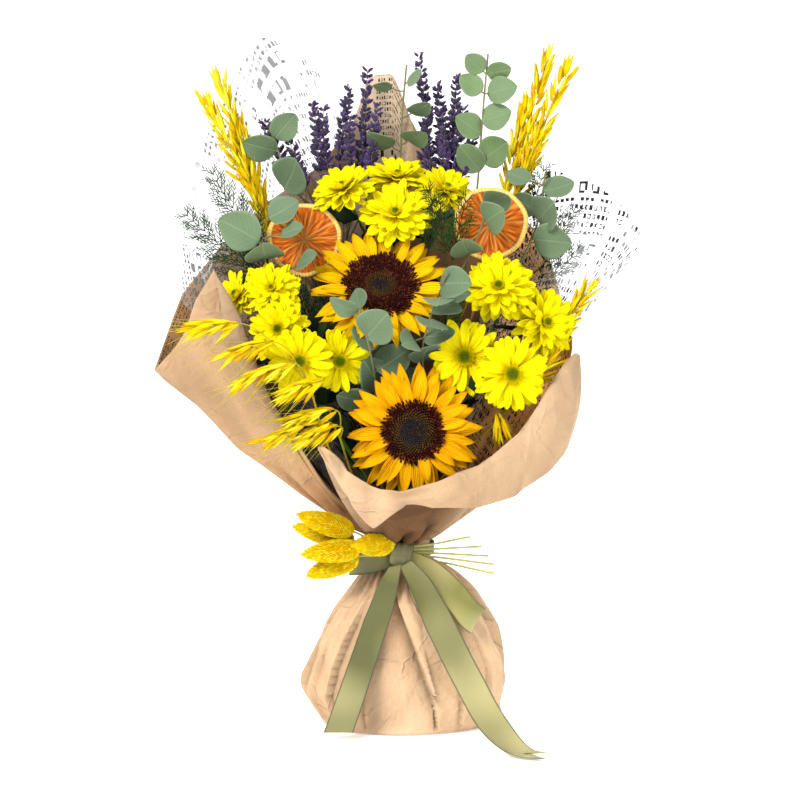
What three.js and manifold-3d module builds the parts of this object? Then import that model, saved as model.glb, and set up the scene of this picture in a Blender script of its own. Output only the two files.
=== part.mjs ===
// Hand-tied bouquet of sunflowers, spray chrysanthemums, eucalyptus, lavender, dyed oats,
// tree fern and dried orange slices in kraft paper and printed clear film, tied with a ribbon.
// Millimetres, +Z up. The origin is the centre of the flat underside of the paper foot.
// The bouquet faces -Y. Every stem passes the tie in its own slot and splays below it.
import * as THREE from "three";
import { mergeVertices } from "three/addons/utils/BufferGeometryUtils.js";
import Module from "manifold-3d";

const wasm = await Module();
wasm.setup();

// ---- driving dimensions ----
const bouquetWidth = 444; // over the wrap and the film
const bouquetHeight = 622; // to the highest film corner
const gap = 0.4; // clearance between touching pieces
const tieHeight = 160; // middle of the ribbon band above the surface
const slotPitch = 6.4; // spacing of the stems where they are tied
const stemCut = 9; // height of the cut ends
const splayX = 2.2; // spread of the stems at the cut, across
const splayY = 1.7; // spread of the stems at the cut, front to back

const sunflowerStem = 3.5; // radii of the stems
const mumStem = 1.9;
const mumTwig = 1.3;
const eucalyptusStem = 1.5;
const lavenderStem = 1.3;
const oatStem = 1.1;
const fernStem = 1.0;
const earTwig = 0.8;
const lavenderEar = 4.5; // radii of the ears
const oatEar = 5.5;
const pickRadius = 1.2;

const petalThickness = 1.3;
const mumRadius = 26;
const mumCrown = 12; // height of a chrysanthemum head, front to back
const leafThickness = 1.3;
const orangeRadius = 33;
const orangeThickness = 5;

const paperThickness = 1.2; // stand-in thickness of kraft paper
const filmThickness = 0.8;
const bindingCord = 1.2;
const stemStep = 40; // longest straight run along a stem
const stringHalf = 6; // half the straight run of the stems at the string
const bindingRadius = 3.5 * slotPitch; // inside of the string, clear of the outermost slots
const filmNeck = bindingRadius + bindingCord + 1.4; // radii of the sheets where they are gathered
const neckSag = filmNeck * (1 - Math.cos(Math.PI / 18)); // how far a sheet cuts the corner between two folds
const backNeck = filmNeck + (filmThickness + paperThickness) / 2 + gap + neckSag;
const frontNeck = backNeck + paperThickness + 2 * gap;
const bandInner = frontNeck + paperThickness / 2 + 2 * gap;
const bandThickness = 1;
const bandHeight = 17;

const footWidth = 180;
const footDepth = 118;
const footPleats = 7;
const footPleatDepth = 0.035;

const ribbonWidth = 26;
const ribbonThickness = 1;

const phalarisRadius = 10;
const strawRadius = 0.8;

// ---- materials ----
const paint = (color, roughness = 0.8) => new THREE.MeshStandardMaterial({ color, roughness, metalness: 0 });
const colours = {
  kraft: 0xc49a72,
  film: 0xdfe4e6,
  ribbon: 0x98a05f,
  string: 0xb09a6a,
  sunPetal: 0xffb400,
  sunDisc: 0x3b1712,
  green: 0x4f7a35,
  mum: 0xfff01e,
  eucalyptus: 0x789683,
  lavender: 0x3b2750,
  oat: 0xe9c112,
  fern: 0x2e5a31,
  orange: 0xd1661a,
  wood: 0xcaa56e,
};

const bouquet = new THREE.Group();
bouquet.name = "bouquet";

function add(name, geometry, material) {
  const mesh = new THREE.Mesh(geometry, material);
  mesh.name = name;
  bouquet.add(mesh);
  return mesh;
}

// ---- small helpers ----
const vec = (p) => new THREE.Vector3(p[0], p[1], p[2]);
const mix = (a, b, t) => a + (b - a) * t;
const radians = THREE.MathUtils.degToRad;

// The layout's points are given for this size and stretch with the bouquet above the tie.
const layout = { width: 444, height: 622, tie: 160 };
const wide = bouquetWidth / layout.width;
const tall = (bouquetHeight - tieHeight) / (layout.height - layout.tie);
const spot = ([x, y, z]) => [x * wide, y, tieHeight + (z - layout.tie) * tall];

// Merged copy of a geometry, positions only.
function bare(geometry) {
  const copy = geometry.clone();
  for (const name of Object.keys(copy.attributes)) if (name !== "position") copy.deleteAttribute(name);
  return mergeVertices(copy, 1e-4);
}

function toManifold(geometry) {
  const merged = bare(geometry);
  const vertProperties = Float32Array.from(merged.attributes.position.array);
  const triVerts = Uint32Array.from(merged.index.array);
  const mesh = new wasm.Mesh({ numProp: 3, vertProperties, triVerts });
  mesh.merge();
  return new wasm.Manifold(mesh);
}

function fromManifold(solid) {
  const mesh = solid.getMesh();
  const geometry = new THREE.BufferGeometry();
  geometry.setAttribute("position", new THREE.BufferAttribute(mesh.vertProperties, 3));
  geometry.setIndex(new THREE.BufferAttribute(mesh.triVerts, 1));
  geometry.computeVertexNormals();
  return geometry;
}

// Joins closed pieces into one solid.
function fuse(pieces) {
  let whole = toManifold(pieces[0]);
  for (const piece of pieces.slice(1)) whole = whole.add(toManifold(piece));
  return fromManifold(whole);
}

// A round bar along a smooth path.
function bar(points, radius, sides = 5, steps = 10) {
  const section = new THREE.Shape();
  for (let i = 0; i < sides; i++) {
    const a = (i / sides) * Math.PI * 2;
    const x = radius * Math.cos(a);
    const y = radius * Math.sin(a);
    if (i === 0) section.moveTo(x, y);
    else section.lineTo(x, y);
  }
  section.closePath();
  const path = new THREE.CatmullRomCurve3(points.map(vec), false, "centripetal");
  return new THREE.ExtrudeGeometry(section, { extrudePath: path, steps, bevelEnabled: false });
}

// Steps along a stem, short enough for it to follow its path through the string.
function stemSteps(points) {
  const path = new THREE.CatmullRomCurve3(points.map(vec), false, "centripetal");
  return Math.ceil(path.getLength() / stemStep);
}

// Moves a geometry so that its local +Z points along facing and its origin is at a place.
function seat(geometry, at, facing, turn = 0) {
  const z = vec(facing).normalize();
  const up = Math.abs(z.z) > 0.98 ? new THREE.Vector3(0, 1, 0) : new THREE.Vector3(0, 0, 1);
  const x = up.clone().cross(z).normalize();
  const y = z.clone().cross(x);
  const frame = new THREE.Matrix4().makeBasis(x, y, z).setPosition(vec(at));
  return geometry.applyMatrix4(new THREE.Matrix4().makeRotationZ(turn)).applyMatrix4(frame);
}

// A closed shell on a grid of points: rows of equal length, thickness centred on the grid.
function sheet(rows, thickness) {
  const m = rows.length;
  const n = rows[0].length;
  const normal = (i, j) => {
    const a = rows[Math.min(i + 1, m - 1)][j].clone().sub(rows[Math.max(i - 1, 0)][j]);
    const b = rows[i][Math.min(j + 1, n - 1)].clone().sub(rows[i][Math.max(j - 1, 0)]);
    return a.cross(b).normalize();
  };
  const positions = [];
  for (const side of [0.5, -0.5]) {
    for (let i = 0; i < m; i++) {
      for (let j = 0; j < n; j++) {
        const p = rows[i][j].clone().addScaledVector(normal(i, j), side * thickness);
        positions.push(p.x, p.y, p.z);
      }
    }
  }
  const top = (i, j) => i * n + j;
  const under = (i, j) => m * n + i * n + j;
  const index = [];
  const quad = (a, b, c, d) => index.push(a, b, c, a, c, d);
  for (let i = 0; i < m - 1; i++) {
    for (let j = 0; j < n - 1; j++) {
      quad(top(i, j), top(i + 1, j), top(i + 1, j + 1), top(i, j + 1));
      quad(under(i, j), under(i, j + 1), under(i + 1, j + 1), under(i + 1, j));
    }
  }
  for (let i = 0; i < m - 1; i++) {
    quad(top(i, 0), under(i, 0), under(i + 1, 0), top(i + 1, 0));
    quad(top(i + 1, n - 1), under(i + 1, n - 1), under(i, n - 1), top(i, n - 1));
  }
  for (let j = 0; j < n - 1; j++) {
    quad(top(0, j + 1), under(0, j + 1), under(0, j), top(0, j));
    quad(top(m - 1, j), under(m - 1, j), under(m - 1, j + 1), top(m - 1, j + 1));
  }
  const geometry = new THREE.BufferGeometry();
  geometry.setAttribute("position", new THREE.Float32BufferAttribute(positions, 3));
  geometry.setIndex(index);
  geometry.computeVertexNormals();
  return geometry;
}

// ---- stems ----
// slot is [place across, row front to back] in the hexagonal packing at the tie.
function tiePoint(slot, spreadX = 1, spreadY = 1, z = tieHeight) {
  const rowPitch = slotPitch * Math.sqrt(0.75);
  return [slot[0] * slotPitch * spreadX, slot[1] * rowPitch * spreadY, z];
}

// A little below the top of a stem, so that what branches off there starts inside it.
function forkOf(above) {
  const [before, last] = above.slice(-2).map(spot).map(vec);
  return last.clone().sub(last.clone().sub(before).setLength(3)).toArray();
}

// Straight through the string, then out over the shoulder.
function stemPath(slot, above) {
  const cut = tiePoint(slot, splayX, splayY, stemCut);
  const under = tiePoint(slot, 1, 1, tieHeight - stringHalf);
  const over = tiePoint(slot, 1, 1, tieHeight + stringHalf);
  const shoulder = tiePoint(slot, 1.12, 1.12, tieHeight + 24);
  return [cut, under, over, shoulder, ...above.map(spot)];
}

// ---- sunflowers ----
const sunflowers = [
  {
    name: "sunflower_upper", slot: [0, 0], at: [-17, -42, 396], facing: [0.05, -0.8, 0.6],
    radius: 62, disc: 31, petals: 22, above: [[-8, -12, 260], [-15, -22, 340]],
  },
  {
    name: "sunflower_lower", slot: [0, -2], at: [11, -84, 274], facing: [0.02, -1, 0.06],
    radius: 57, disc: 24, petals: 20, above: [[4, -32, 215], [9, -58, 258]],
  },
];

function petalRing(radius, count) {
  const outline = new THREE.Shape();
  for (let i = 0; i < count * 2; i++) {
    const a = (i / (count * 2)) * Math.PI * 2;
    const r = i % 2 ? radius : radius * 0.8;
    if (i === 0) outline.moveTo(r * Math.cos(a), r * Math.sin(a));
    else outline.lineTo(r * Math.cos(a), r * Math.sin(a));
  }
  outline.closePath();
  return new THREE.ExtrudeGeometry(outline, { depth: petalThickness, bevelEnabled: false });
}

function calyxCup(radius, depth) {
  const profile = [
    [0, -depth], [radius * 0.35, -depth], [radius * 0.8, -depth * 0.35], [radius, 0], [0, 0],
  ];
  const cup = new THREE.LatheGeometry(profile.map(([r, z]) => new THREE.Vector2(r, z)), 12);
  return cup.rotateX(Math.PI / 2);
}

function discCrown(radius, height) {
  const profile = [[0, 0], [radius, 0], [radius, height * 0.5], [radius * 0.6, height], [0, height * 0.8]];
  const crown = new THREE.LatheGeometry(profile.map(([r, z]) => new THREE.Vector2(r, z)), 16);
  return crown.rotateX(Math.PI / 2);
}

for (const flower of sunflowers) {
  const facing = vec(flower.facing).normalize();
  const centre = spot(flower.at);
  const behind = (d) => vec(centre).addScaledVector(facing, -d).toArray();
  const cupDepth = 12;
  add(`${flower.name}_petals`, seat(petalRing(flower.radius, flower.petals), centre, flower.facing),
    paint(colours.sunPetal, 0.6));
  add(`${flower.name}_disc`, seat(discCrown(flower.disc, 8), behind(-petalThickness - gap), flower.facing),
    paint(colours.sunDisc, 0.9));
  const neck = behind(gap + cupDepth * 0.9);
  const path = [...stemPath(flower.slot, flower.above), behind(cupDepth + 16), neck];
  const cup = seat(calyxCup(flower.disc * 0.95, cupDepth), behind(gap), flower.facing);
  add(`${flower.name}_stem`, fuse([bar(path, sunflowerStem, 8, stemSteps(path)), cup]), paint(colours.green));
}

// ---- spray chrysanthemums ----
// Each head: [name, place of the middle of the head, direction it faces, size].
const sprays = [
  {
    name: "mum_stem_left", slot: [-2, 0], above: [[-52, -14, 260], [-80, -22, 310]],
    heads: [
      ["mum_left_1", [-144, -26, 390], [-0.65, -0.55, 0.5], 0.9],
      ["mum_left_2", [-112, -46, 396], [-0.1, -0.9, 0.4], 0.85],
      ["mum_left_3", [-105, -66, 361], [-0.25, -0.9, 0.3], 0.95],
      ["mum_left_4", [-86, -88, 335], [0.05, -0.95, -0.1], 0.95],
      ["mum_left_5", [-52, -70, 334], [0.15, -0.95, -0.1], 0.95],
    ],
  },
  {
    name: "mum_stem_top", slot: [0, 2], above: [[-2, 14, 270], [-2, 16, 380]],
    heads: [
      ["mum_top_1", [-51, -8, 485], [-0.35, -0.55, 0.75], 1],
      ["mum_top_2", [-2, 26, 496], [0, -0.5, 0.85], 0.95],
      ["mum_top_3", [-4, -22, 462], [0, -0.8, 0.6], 1.1],
      ["mum_top_4", [42, 14, 484], [0.35, -0.5, 0.75], 0.95],
    ],
  },
  {
    name: "mum_stem_right", slot: [2, 0], above: [[44, -12, 260], [72, -22, 310]],
    heads: [
      ["mum_right_1", [86, -46, 398], [-0.05, -0.85, 0.5], 1.1],
      ["mum_right_2", [128, -40, 366], [0.5, -0.85, 0.2], 1.1],
      ["mum_right_3", [56, -74, 338], [-0.15, -0.97, 0.05], 1.1],
      ["mum_right_4", [96, -88, 324], [0.2, -0.95, 0.05], 1.1],
    ],
  },
];

function mumHead(radius, height) {
  const profile = [
    [0, -height], [radius * 0.18, -height], [radius * 0.7, -height * 0.35],
    [radius, 0], [radius * 0.55, height * 0.1], [0, -height * 0.15],
  ];
  const head = new THREE.LatheGeometry(profile.map(([r, z]) => new THREE.Vector2(r, z)), 12);
  return head.rotateX(Math.PI / 2);
}

for (const spray of sprays) {
  const fork = forkOf(spray.above);
  const stem = stemPath(spray.slot, spray.above);
  const pieces = [bar(stem, mumStem, 6, stemSteps(stem))];
  for (const [name, at, direction, size] of spray.heads) {
    const facing = vec(direction).normalize();
    const middle = spot(at);
    const base = vec(middle).addScaledVector(facing, -mumCrown * size - gap).toArray();
    const before = vec(middle).addScaledVector(facing, -mumCrown * size - 16).toArray();
    const head = mumHead(mumRadius * size, mumCrown * size);
    add(name, seat(head, middle, direction), paint(colours.mum, 0.7));
    pieces.push(bar([fork, before, base], mumTwig, 5, 5));
  }
  add(spray.name, fuse(pieces), paint(colours.green));
}

// ---- eucalyptus ----
// Each leaf: [x, y, z of its middle, radius, roll in degrees about its own length].
const eucalyptus = [
  {
    name: "eucalyptus_top_right", slot: [1.5, 3], tip: [80, 44, 606],
    above: [[46, 36, 330], [70, 42, 480], [76, 43, 560]],
    leaves: [
      [68, 40, 597, 10, 20], [90, 42, 590, 10, -30], [92, 38, 573, 14, 15], [64, 42, 578, 12, -20],
      [88, 40, 549, 14, 20], [62, 40, 541, 14, -25], [86, 32, 518, 15, 10], [64, 40, 512, 15, 25],
    ],
  },
  {
    name: "eucalyptus_upper_left", slot: [-1, 2], tip: [-118, 28, 540],
    above: [[-46, 22, 320], [-92, 22, 440], [-106, 24, 505]],
    leaves: [[-126, 20, 521, 15, 35], [-104, 26, 540, 13, -20], [-97, 12, 497, 19, 15]],
  },
  {
    name: "eucalyptus_left", slot: [-2.5, 1], tip: [-128, -28, 462],
    above: [[-58, 6, 290], [-98, -13, 372], [-122, -26, 430]],
    leaves: [
      [-141, -26, 447, 19, 15], [-119, -36, 425, 18, -10], [-102, -28, 464, 13, 20],
      [-94, -40, 446, 9, 30], [-82, -46, 420, 12, 20],
    ],
  },
  {
    name: "eucalyptus_top_centre", slot: [-0.5, 3], tip: [6, 56, 597],
    above: [[-4, 34, 330], [0, 48, 480], [2, 54, 550]],
    leaves: [
      [-16, 46, 577, 9, 60], [14, 44, 584, 8, 50], [18, 40, 556, 12, -50], [-18, 42, 527, 14, 55],
      [14, 34, 530, 14, -40],
    ],
  },
  {
    name: "eucalyptus_centre_left", slot: [-1.5, -1], tip: [-32, -96, 374],
    above: [[-20, -36, 250], [-22, -62, 320], [-27, -88, 350]],
    leaves: [[-20, -102, 366, 18, 0], [-48, -98, 382, 12, 50], [-6, -60, 334, 15, 20]],
  },
  {
    name: "eucalyptus_centre_right", slot: [0.5, -1], tip: [40, -98, 412],
    above: [[20, -24, 236], [22, -46, 300], [20, -66, 345]],
    leaves: [
      [46, -100, 402, 15, 20], [32, -104, 388, 14, -15], [26, -100, 366, 15, 30], [8, -98, 352, 12, -30],
    ],
  },
  {
    name: "eucalyptus_over_orange", slot: [1, 0], tip: [80, -32, 476],
    above: [[34, -4, 300], [50, -20, 400], [68, -30, 440]],
    leaves: [[80, -46, 458, 16, 10], [86, -42, 474, 13, -30], [58, -38, 430, 15, 20]],
  },
  {
    name: "eucalyptus_right", slot: [2.5, 1], tip: [130, 4, 498],
    above: [[64, 8, 300], [100, 4, 400], [122, 2, 450]],
    leaves: [
      [128, -10, 462, 18, 25], [136, -6, 437, 17, -20], [142, 4, 484, 13, 40], [112, 8, 470, 12, 40],
      [106, 12, 494, 12, -40],
    ],
  },
];

// A flat leaf from its root on the stem to a round end about the given middle.
function leafPlate(at, radius, root, roll) {
  const stalk = vec(at).distanceTo(root);
  const along = vec(at).sub(root).normalize();
  const face = new THREE.Vector3(0, -1, 0).addScaledVector(along, along.y).normalize();
  face.applyAxisAngle(along, radians(roll));
  const half = [[0, 1], [stalk - radius * 0.5, radius * 0.8], [stalk + radius * 0.5, radius * 0.8]];
  const outline = new THREE.Shape();
  outline.moveTo(half[0][0], half[0][1]);
  for (const [x, y] of half.slice(1)) outline.lineTo(Math.max(x, 1), y);
  outline.lineTo(stalk + radius, 0);
  for (const [x, y] of [...half].reverse()) outline.lineTo(x > 0 ? Math.max(x, 1) : x, -y);
  const plate = new THREE.ExtrudeGeometry(outline, { depth: leafThickness, bevelEnabled: false });
  plate.translate(0, 0, -leafThickness / 2);
  const across = face.clone().cross(along);
  return plate.applyMatrix4(new THREE.Matrix4().makeBasis(along, across, face).setPosition(root));
}

for (const branch of eucalyptus) {
  const points = stemPath(branch.slot, [...branch.above, branch.tip]);
  const path = new THREE.CatmullRomCurve3(points.map(vec), false, "centripetal");
  const steps = stemSteps(points);
  const knuckles = path.getSpacedPoints(steps).slice(0, steps);
  const pieces = [bar(points, eucalyptusStem, 5, steps)];
  for (const [x, y, z, radius, roll] of branch.leaves) {
    const at = spot([x, y, z]);
    const middle = vec(at);
    const distances = knuckles.map((p) => p.distanceTo(middle));
    const root = knuckles[distances.indexOf(Math.min(...distances))];
    pieces.push(leafPlate(at, radius, root, roll));
  }
  add(branch.name, fuse(pieces), paint(colours.eucalyptus, 0.75));
}

// ---- lavender and oats: a stalk that forks into ears ----
function ear(from, to, radius, sides = 6) {
  const length = vec(to).distanceTo(vec(from));
  const profile = [[0, 0], [radius * 0.8, length * 0.2], [radius, length * 0.5], [0, length]];
  const body = new THREE.LatheGeometry(profile.map(([r, z]) => new THREE.Vector2(r, z)), sides);
  return seat(body.rotateX(Math.PI / 2), from, vec(to).sub(vec(from)).toArray());
}

// Each ear: [lowest point, tip].
const lavender = [
  {
    name: "lavender_left", slot: [-1.5, 3], above: [[-30, 40, 330], [-52, 46, 430]],
    ears: [
      [[-104, 42, 500], [-124, 44, 546]], [[-74, 46, 500], [-80, 50, 562]], [[-54, 50, 500], [-46, 56, 578]],
      [[-38, 48, 490], [-30, 56, 592]], [[-86, 34, 486], [-100, 36, 526]],
    ],
  },
  {
    name: "lavender_right", slot: [0.5, 3], above: [[14, 42, 330], [26, 56, 430]],
    ears: [
      [[22, 60, 510], [18, 70, 604]], [[36, 58, 505], [34, 68, 582]], [[42, 54, 500], [52, 64, 590]],
      [[48, 50, 490], [58, 58, 560]],
    ],
  },
];

const oats = [
  {
    name: "oats_top_left", slot: [-2, 2], above: [[-64, 22, 320], [-108, 30, 430]],
    ears: [
      [[-136, 30, 490], [-166, 38, 596]], [[-146, 30, 500], [-182, 34, 574]], [[-128, 34, 474], [-152, 42, 540]],
    ],
  },
  {
    name: "oats_top_right", slot: [1, 2], above: [[42, 28, 330], [82, 36, 430]],
    ears: [
      [[108, 38, 500], [136, 44, 618]], [[118, 34, 505], [156, 38, 602]], [[98, 38, 486], [116, 42, 560]],
    ],
  },
  {
    name: "oats_spill_upper", slot: [-2.5, -1], above: [[-60, -40, 250], [-78, -92, 318]],
    ears: [
      [[-146, -96, 368], [-190, -90, 362]], [[-112, -98, 350], [-158, -92, 334]],
      [[-92, -100, 330], [-150, -96, 306]], [[-70, -108, 318], [-100, -112, 310]],
    ],
  },
  {
    name: "oats_spill_lower", slot: [-1, -2], above: [[-38, -52, 226], [-52, -86, 270]],
    ears: [
      [[-58, -100, 290], [-104, -106, 276]], [[-64, -102, 282], [-126, -114, 262]],
      [[-56, -100, 284], [-96, -112, 270]],
    ],
  },
  {
    name: "oats_right", slot: [2.5, -1], above: [[56, -30, 250], [96, -46, 290]],
    ears: [
      [[108, -44, 310], [142, -44, 336]], [[84, -58, 288], [90, -66, 264]], [[130, -24, 330], [176, -8, 408]],
    ],
  },
];

for (const stalk of lavender) {
  const fork = forkOf(stalk.above);
  const stem = stemPath(stalk.slot, stalk.above);
  const pieces = [bar(stem, lavenderStem, 5, stemSteps(stem))];
  for (const [from, to] of stalk.ears.map((ends) => ends.map(spot))) {
    pieces.push(bar([fork, from, vec(from).lerp(vec(to), 0.3).toArray()], earTwig, 4, 3));
    pieces.push(ear(from, to, lavenderEar));
  }
  add(stalk.name, fuse(pieces), paint(colours.lavender, 0.9));
}

for (const stalk of oats) {
  const fork = forkOf(stalk.above);
  const stem = stemPath(stalk.slot, stalk.above);
  const pieces = [bar(stem, oatStem, 5, stemSteps(stem))];
  for (const [from, to] of stalk.ears.map((ends) => ends.map(spot))) {
    pieces.push(bar([fork, from, vec(from).lerp(vec(to), 0.3).toArray()], earTwig, 4, 3));
    pieces.push(ear(from, to, oatEar));
  }
  add(stalk.name, fuse(pieces), paint(colours.oat, 0.7));
}

// ---- tree fern: a wiry stem with flat plumes ----
const ferns = [
  {
    name: "fern_left", slot: [-1, 0], above: [[-44, -8, 280], [-72, -12, 350]],
    plumes: [[[-134, 2, 410], [-196, 6, 462]], [[-66, -26, 360], [-62, -24, 404]]],
  },
  {
    name: "fern_centre", slot: [1.5, -1], above: [[26, -20, 260], [40, -24, 360]],
    plumes: [[[40, -30, 430], [24, -30, 480]], [[46, -28, 420], [58, -26, 474]]],
  },
  {
    name: "fern_right", slot: [2, 2], above: [[58, 20, 300], [104, 18, 400]],
    plumes: [[[134, 16, 420], [158, 12, 462]], [[122, 22, 450], [130, 20, 500]]],
  },
];

for (const fern of ferns) {
  const fork = forkOf(fern.above);
  const stem = stemPath(fern.slot, fern.above);
  const pieces = [bar(stem, fernStem, 5, stemSteps(stem))];
  for (const [from, to] of fern.plumes.map((ends) => ends.map(spot))) {
    pieces.push(bar([fork, from, to], earTwig, 4, 4));
    const plume = new THREE.CylinderGeometry(1, 1, 1.2, 6).scale(8, 1, 0.45 * vec(to).distanceTo(vec(from)));
    const middle = vec(from).lerp(vec(to), 0.5);
    const along = vec(to).sub(vec(from)).normalize();
    const face = new THREE.Vector3(0, -1, 0).addScaledVector(along, along.y).normalize();
    const frame = new THREE.Matrix4().makeBasis(face.clone().cross(along), face, along).setPosition(middle);
    pieces.push(plume.applyMatrix4(frame));
  }
  add(fern.name, fuse(pieces), paint(colours.fern, 0.8));
}

// ---- dried orange slices, each on a wooden pick that stands behind it ----
const slices = [
  {
    name: "left", slot: [-1.5, 1], at: [-85, -12, 438], facing: [0.06, -1, 0.08],
    above: [[-42, 8, 290], [-76, -4, 380]],
  },
  {
    name: "right", slot: [1.5, 1], at: [80, -14, 452], facing: [-0.1, -1, 0.1],
    above: [[40, 8, 290], [68, 4, 380]],
  },
];

for (const slice of slices) {
  const facing = vec(slice.facing).normalize();
  const centre = spot(slice.at);
  const round = new THREE.CylinderGeometry(orangeRadius, orangeRadius, orangeThickness, 20).rotateX(Math.PI / 2);
  add(`orange_slice_${slice.name}`, seat(round, centre, slice.facing), paint(colours.orange, 0.7));
  const back = orangeThickness / 2 + pickRadius + gap;
  const top = vec(centre).addScaledVector(facing, -back);
  const low = vec(centre).addScaledVector(facing, -back - 1).add(new THREE.Vector3(0, 0, -orangeRadius * 0.8));
  const path = [...stemPath(slice.slot, slice.above), low.toArray(), top.toArray()];
  add(`orange_pick_${slice.name}`, bar(path, pickRadius, 5, stemSteps(path)), paint(colours.wood, 0.8));
}

// ---- binding string round the stems ----
const bindingProfile = [[0, -1], [1, -1], [1, 1], [0, 1], [0, -1]].map(
  ([r, z]) => new THREE.Vector2(bindingRadius + r * bindingCord, z * 2.5));
const binding = new THREE.LatheGeometry(bindingProfile, 20).rotateX(Math.PI / 2);
add("binding_string", binding.translate(0, 0, tieHeight), paint(colours.string));

// ---- paper and film above the tie: rays from the gathered neck to the rim ----
// Each ray: [angle at the neck in degrees, rim point, bulge point at half height].
function neckPoint(angle, radius, z) {
  return new THREE.Vector3(radius * Math.cos(radians(angle)), radius * Math.sin(radians(angle)), z);
}

function rayPoint([angle, rim, bulge], radius, z, t) {
  const start = neckPoint(angle, radius, z);
  return new THREE.QuadraticBezierCurve3(start, vec(spot(bulge)), vec(spot(rim))).getPoint(t);
}

const seam = 1.2; // half the gap in the middle of the band between the sheets and the foot
const neckTop = tieHeight + bandHeight / 2 + gap + 1;
const neckFoot = tieHeight - bandHeight / 2 - gap - 1;

// A sheet that stands straight under the band and fans out above it.
function fan(rays, radius, thickness, stops = [0, 0.25, 0.5, 0.75, 1]) {
  const rows = rays.map((ray) => [
    neckPoint(ray[0], radius, tieHeight + seam),
    ...stops.map((t) => rayPoint(ray, radius, neckTop, t)),
  ]);
  return sheet(rows, thickness);
}

const backRays = [
  [-32, [150, -22, 336], [60, -20, 240]],
  [-22, [154, -8, 350], [74, -8, 238]],
  [-10, [152, 6, 364], [98, 6, 230]],
  [12, [140, 28, 412], [90, 26, 242]],
  [32, [122, 46, 448], [70, 38, 266]],
  [52, [88, 64, 468], [48, 46, 286]],
  [70, [40, 78, 494], [24, 50, 300]],
  [80, [10, 82, 548], [8, 51, 306]],
  [88, [-8, 84, 590], [-2, 52, 310]],
  [98, [-28, 84, 588], [-14, 52, 310]],
  [106, [-46, 80, 540], [-26, 50, 300]],
  [114, [-80, 72, 502], [-36, 46, 290]],
  [130, [-120, 60, 474], [-60, 38, 270]],
  [148, [-164, 44, 432], [-82, 26, 250]],
  [162, [-198, 22, 388], [-96, 14, 236]],
  [174, [-222, -2, 318], [-106, -2, 220]],
  [182, [-221, -14, 320], [-108, -14, 216]],
  [194, [-202, -34, 352], [-104, -32, 220]],
  [206, [-178, -48, 388], [-96, -46, 224]],
  [216, [-160, -54, 412], [-84, -56, 226]],
];
add("wrap_back", fan(backRays, backNeck, paperThickness), paint(colours.kraft, 0.85));

// The front sheet rises to a rim and folds outwards and down again as a flap.
// Each ray: [angle at the neck, rim point, free edge of the flap].
const frontRays = [
  [222, [-66, -104, 266], [-60, -110, 256]],
  [236, [-44, -112, 242], [-38, -114, 214]],
  [250, [-20, -118, 230], [-18, -108, 200]],
  [264, [2, -121, 226], [4, -120, 216]],
  [278, [34, -121, 236], [28, -118, 212]],
  [292, [66, -114, 246], [62, -108, 210]],
  [306, [100, -98, 274], [92, -94, 222]],
  [320, [128, -76, 308], [122, -72, 240]],
  [334, [153, -44, 336], [142, -52, 256]],
];
const foldReach = 3; // how far the fold stands proud of the rim
const frontRows = frontRays.map(([angle, rimPoint, edgePoint]) => {
  const rim = spot(rimPoint);
  const edge = spot(edgePoint);
  const out = new THREE.Vector3(rim[0], rim[1], 0).normalize();
  const low = neckPoint(angle, frontNeck, tieHeight + seam);
  const start = neckPoint(angle, frontNeck, neckTop);
  const crest = vec(rim);
  const fold = crest.clone().addScaledVector(out, foldReach);
  const free = vec(edge).addScaledVector(out, foldReach + 3);
  return [
    low, start, start.clone().lerp(crest, 0.3), start.clone().lerp(crest, 0.65), crest, fold,
    fold.clone().lerp(free, 0.5), free,
  ];
});
add("wrap_front", sheet(frontRows, paperThickness), paint(colours.kraft, 0.85));

const filmLeftRays = [
  [96, [-50, 76, 560], [-24, 46, 320]],
  [108, [-90, 74, 602], [-40, 42, 320]],
  [120, [-126, 64, 622], [-56, 40, 320]],
  [134, [-164, 50, 566], [-74, 32, 300]],
  [148, [-200, 34, 484], [-92, 24, 280]],
  [160, [-204, 12, 384], [-94, 12, 250]],
];
add("film_left", fan(filmLeftRays, filmNeck, filmThickness), paint(colours.film, 0.3));

const filmRightRays = [
  [14, [178, -8, 380], [50, -4, 300]],
  [26, [222, 4, 444], [58, 4, 320]],
  [40, [184, 22, 486], [56, 16, 316]],
  [56, [128, 43, 502], [48, 26, 312]],
];
add("film_right", fan(filmRightRays, filmNeck, filmThickness), paint(colours.film, 0.3));

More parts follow.
